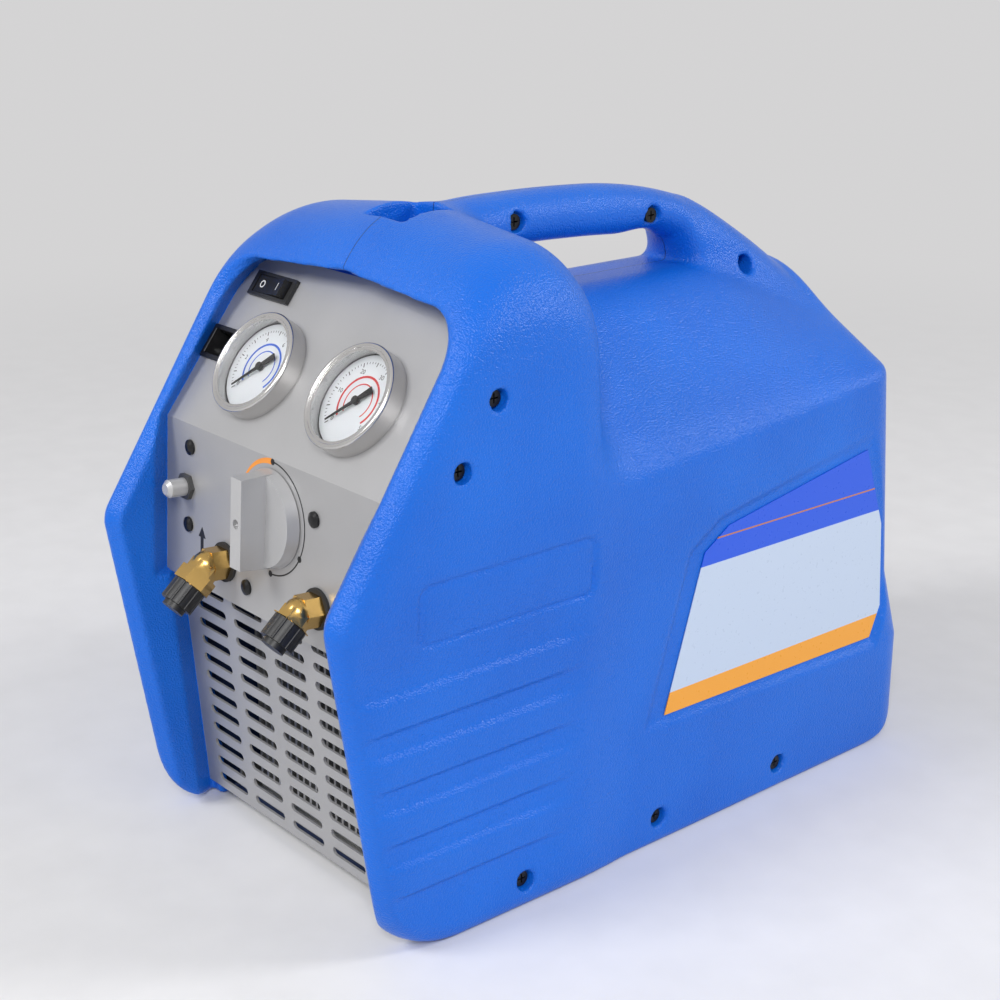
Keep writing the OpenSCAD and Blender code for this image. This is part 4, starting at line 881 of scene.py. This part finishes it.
# pale floor, soft light and the camera
studio = {"floor": (0.83, 0.825, 0.83), "floorSize": 9.0, "world": (0.78, 0.78, 0.8), "worldStrength": 0.42,
          "backdrop": (0.66, 0.655, 0.66), "fadeFrom": 0.5, "fadeTo": 1.7,
          "drop": 0.0005, "aim": (0, 0, 0.15), "cloth": dict(rough=0.85, grain=60.0, bump=0.05, vary=0.02)}
lamps = [
    {"name": "keyLamp", "at": (-0.6, -2.4, 2.2), "size": 1.0, "power": 42.0},
    {"name": "sideLamp", "at": (1.7, -1.6, 1.75), "size": 0.7, "power": 33.0},
    {"name": "rimLamp", "at": (1.6, 1.7, 1.55), "size": 0.7, "power": 25.0}]
shot = {"place": (0.738668, -0.6495, 0.5106), "azimuth": 49.845, "elevation": 18.917,
        "focal": 65.22, "sensor": 36.0}


def seenRays(tree):
    rays = addNode(tree, "ShaderNodeLightPath")
    total = rays.outputs["Is Camera Ray"]
    for kind in ("Is Glossy Ray", "Is Transmission Ray"):
        total = mathOut(tree, "MAXIMUM", total, rays.outputs[kind])
    return total


# floor cloth that turns to the plain backdrop away from the object
def floorCloth():
    mat = plainFinish("floorCloth", studio["floor"], **studio["cloth"])
    tree = mat.node_tree
    far = addNode(tree, "ShaderNodeVectorMath", operation="LENGTH")
    tree.links.new(objectCoords(tree), far.inputs[0])
    fade = addNode(tree, "ShaderNodeMapRange", interpolation_type="SMOOTHSTEP")
    fade.inputs["From Min"].default_value = studio["fadeFrom"]
    fade.inputs["From Max"].default_value = studio["fadeTo"]
    tree.links.new(far.outputs["Value"], fade.inputs["Value"])
    share = mathOut(tree, "MULTIPLY", fade.outputs["Result"], seenRays(tree))
    pale = addNode(tree, "ShaderNodeEmission", Color=(*studio["backdrop"], 1))
    mix = addNode(tree, "ShaderNodeMixShader")
    tree.links.new(share, mix.inputs[0])
    tree.links.new(tree.nodes["Principled BSDF"].outputs["BSDF"], mix.inputs[1])
    tree.links.new(pale.outputs["Emission"], mix.inputs[2])
    tree.links.new(mix.outputs["Shader"], tree.nodes["Material Output"].inputs["Surface"])
    return mat


def buildStudio():
    mesh = bpy.data.meshes.new("floor")
    size = studio["floorSize"]
    corners = [(-size, -size, 0), (size, -size, 0), (size, size, 0), (-size, size, 0)]
    mesh.from_pydata(corners, [], [(0, 1, 2, 3)])
    floor = bpy.data.objects.new("floor", mesh)
    floor.location.z = -studio["drop"]
    bpy.context.scene.collection.objects.link(floor)
    floor.data.materials.append(floorCloth())
    world = bpy.data.worlds.new("studio")
    world.use_nodes = True
    tree = world.node_tree
    background = tree.nodes["Background"]
    background.inputs["Color"].default_value = (*studio["world"], 1)
    background.inputs["Strength"].default_value = studio["worldStrength"]
    pale = addNode(tree, "ShaderNodeBackground", Color=(*studio["backdrop"], 1))
    mix = addNode(tree, "ShaderNodeMixShader")
    tree.links.new(seenRays(tree), mix.inputs[0])
    tree.links.new(background.outputs["Background"], mix.inputs[1])
    tree.links.new(pale.outputs["Background"], mix.inputs[2])
    tree.links.new(mix.outputs["Shader"], tree.nodes["World Output"].inputs["Surface"])
    bpy.context.scene.world = world
    for lamp in lamps:
        data = bpy.data.lights.new(lamp["name"], "AREA")
        data.size = lamp["size"]
        data.energy = lamp["power"]
        obj = bpy.data.objects.new(lamp["name"], data)
        obj.location = lamp["at"]
        obj.rotation_euler = (Vector(studio["aim"]) - obj.location).to_track_quat("-Z", "Y").to_euler()
        bpy.context.scene.collection.objects.link(obj)
    data = bpy.data.cameras.new("camera")
    data.lens = shot["focal"]
    data.sensor_width = shot["sensor"]
    camera = bpy.data.objects.new("camera", data)
    a, e = math.radians(shot["azimuth"]), math.radians(shot["elevation"])
    back = Vector((math.sin(a) * math.cos(e), -math.cos(a) * math.cos(e), math.sin(e)))
    camera.location = shot["place"]
    camera.rotation_euler = (-back).to_track_quat("-Z", "Y").to_euler()
    bpy.context.scene.collection.objects.link(camera)
    bpy.context.scene.camera = camera
    bpy.context.scene.view_settings.view_transform = "Standard"
    print("studio done")


buildStudio()
buildHousing()
mats = dressNodes()
buildFilm(mats["label_film"])
ink = {name: inkFinish(name, colour) for name, colour in inks.items()}
printDials(ink["inkBlack"])
printPanel(ink["inkBlack"], ink["inkOrange"], ink["inkWhite"])
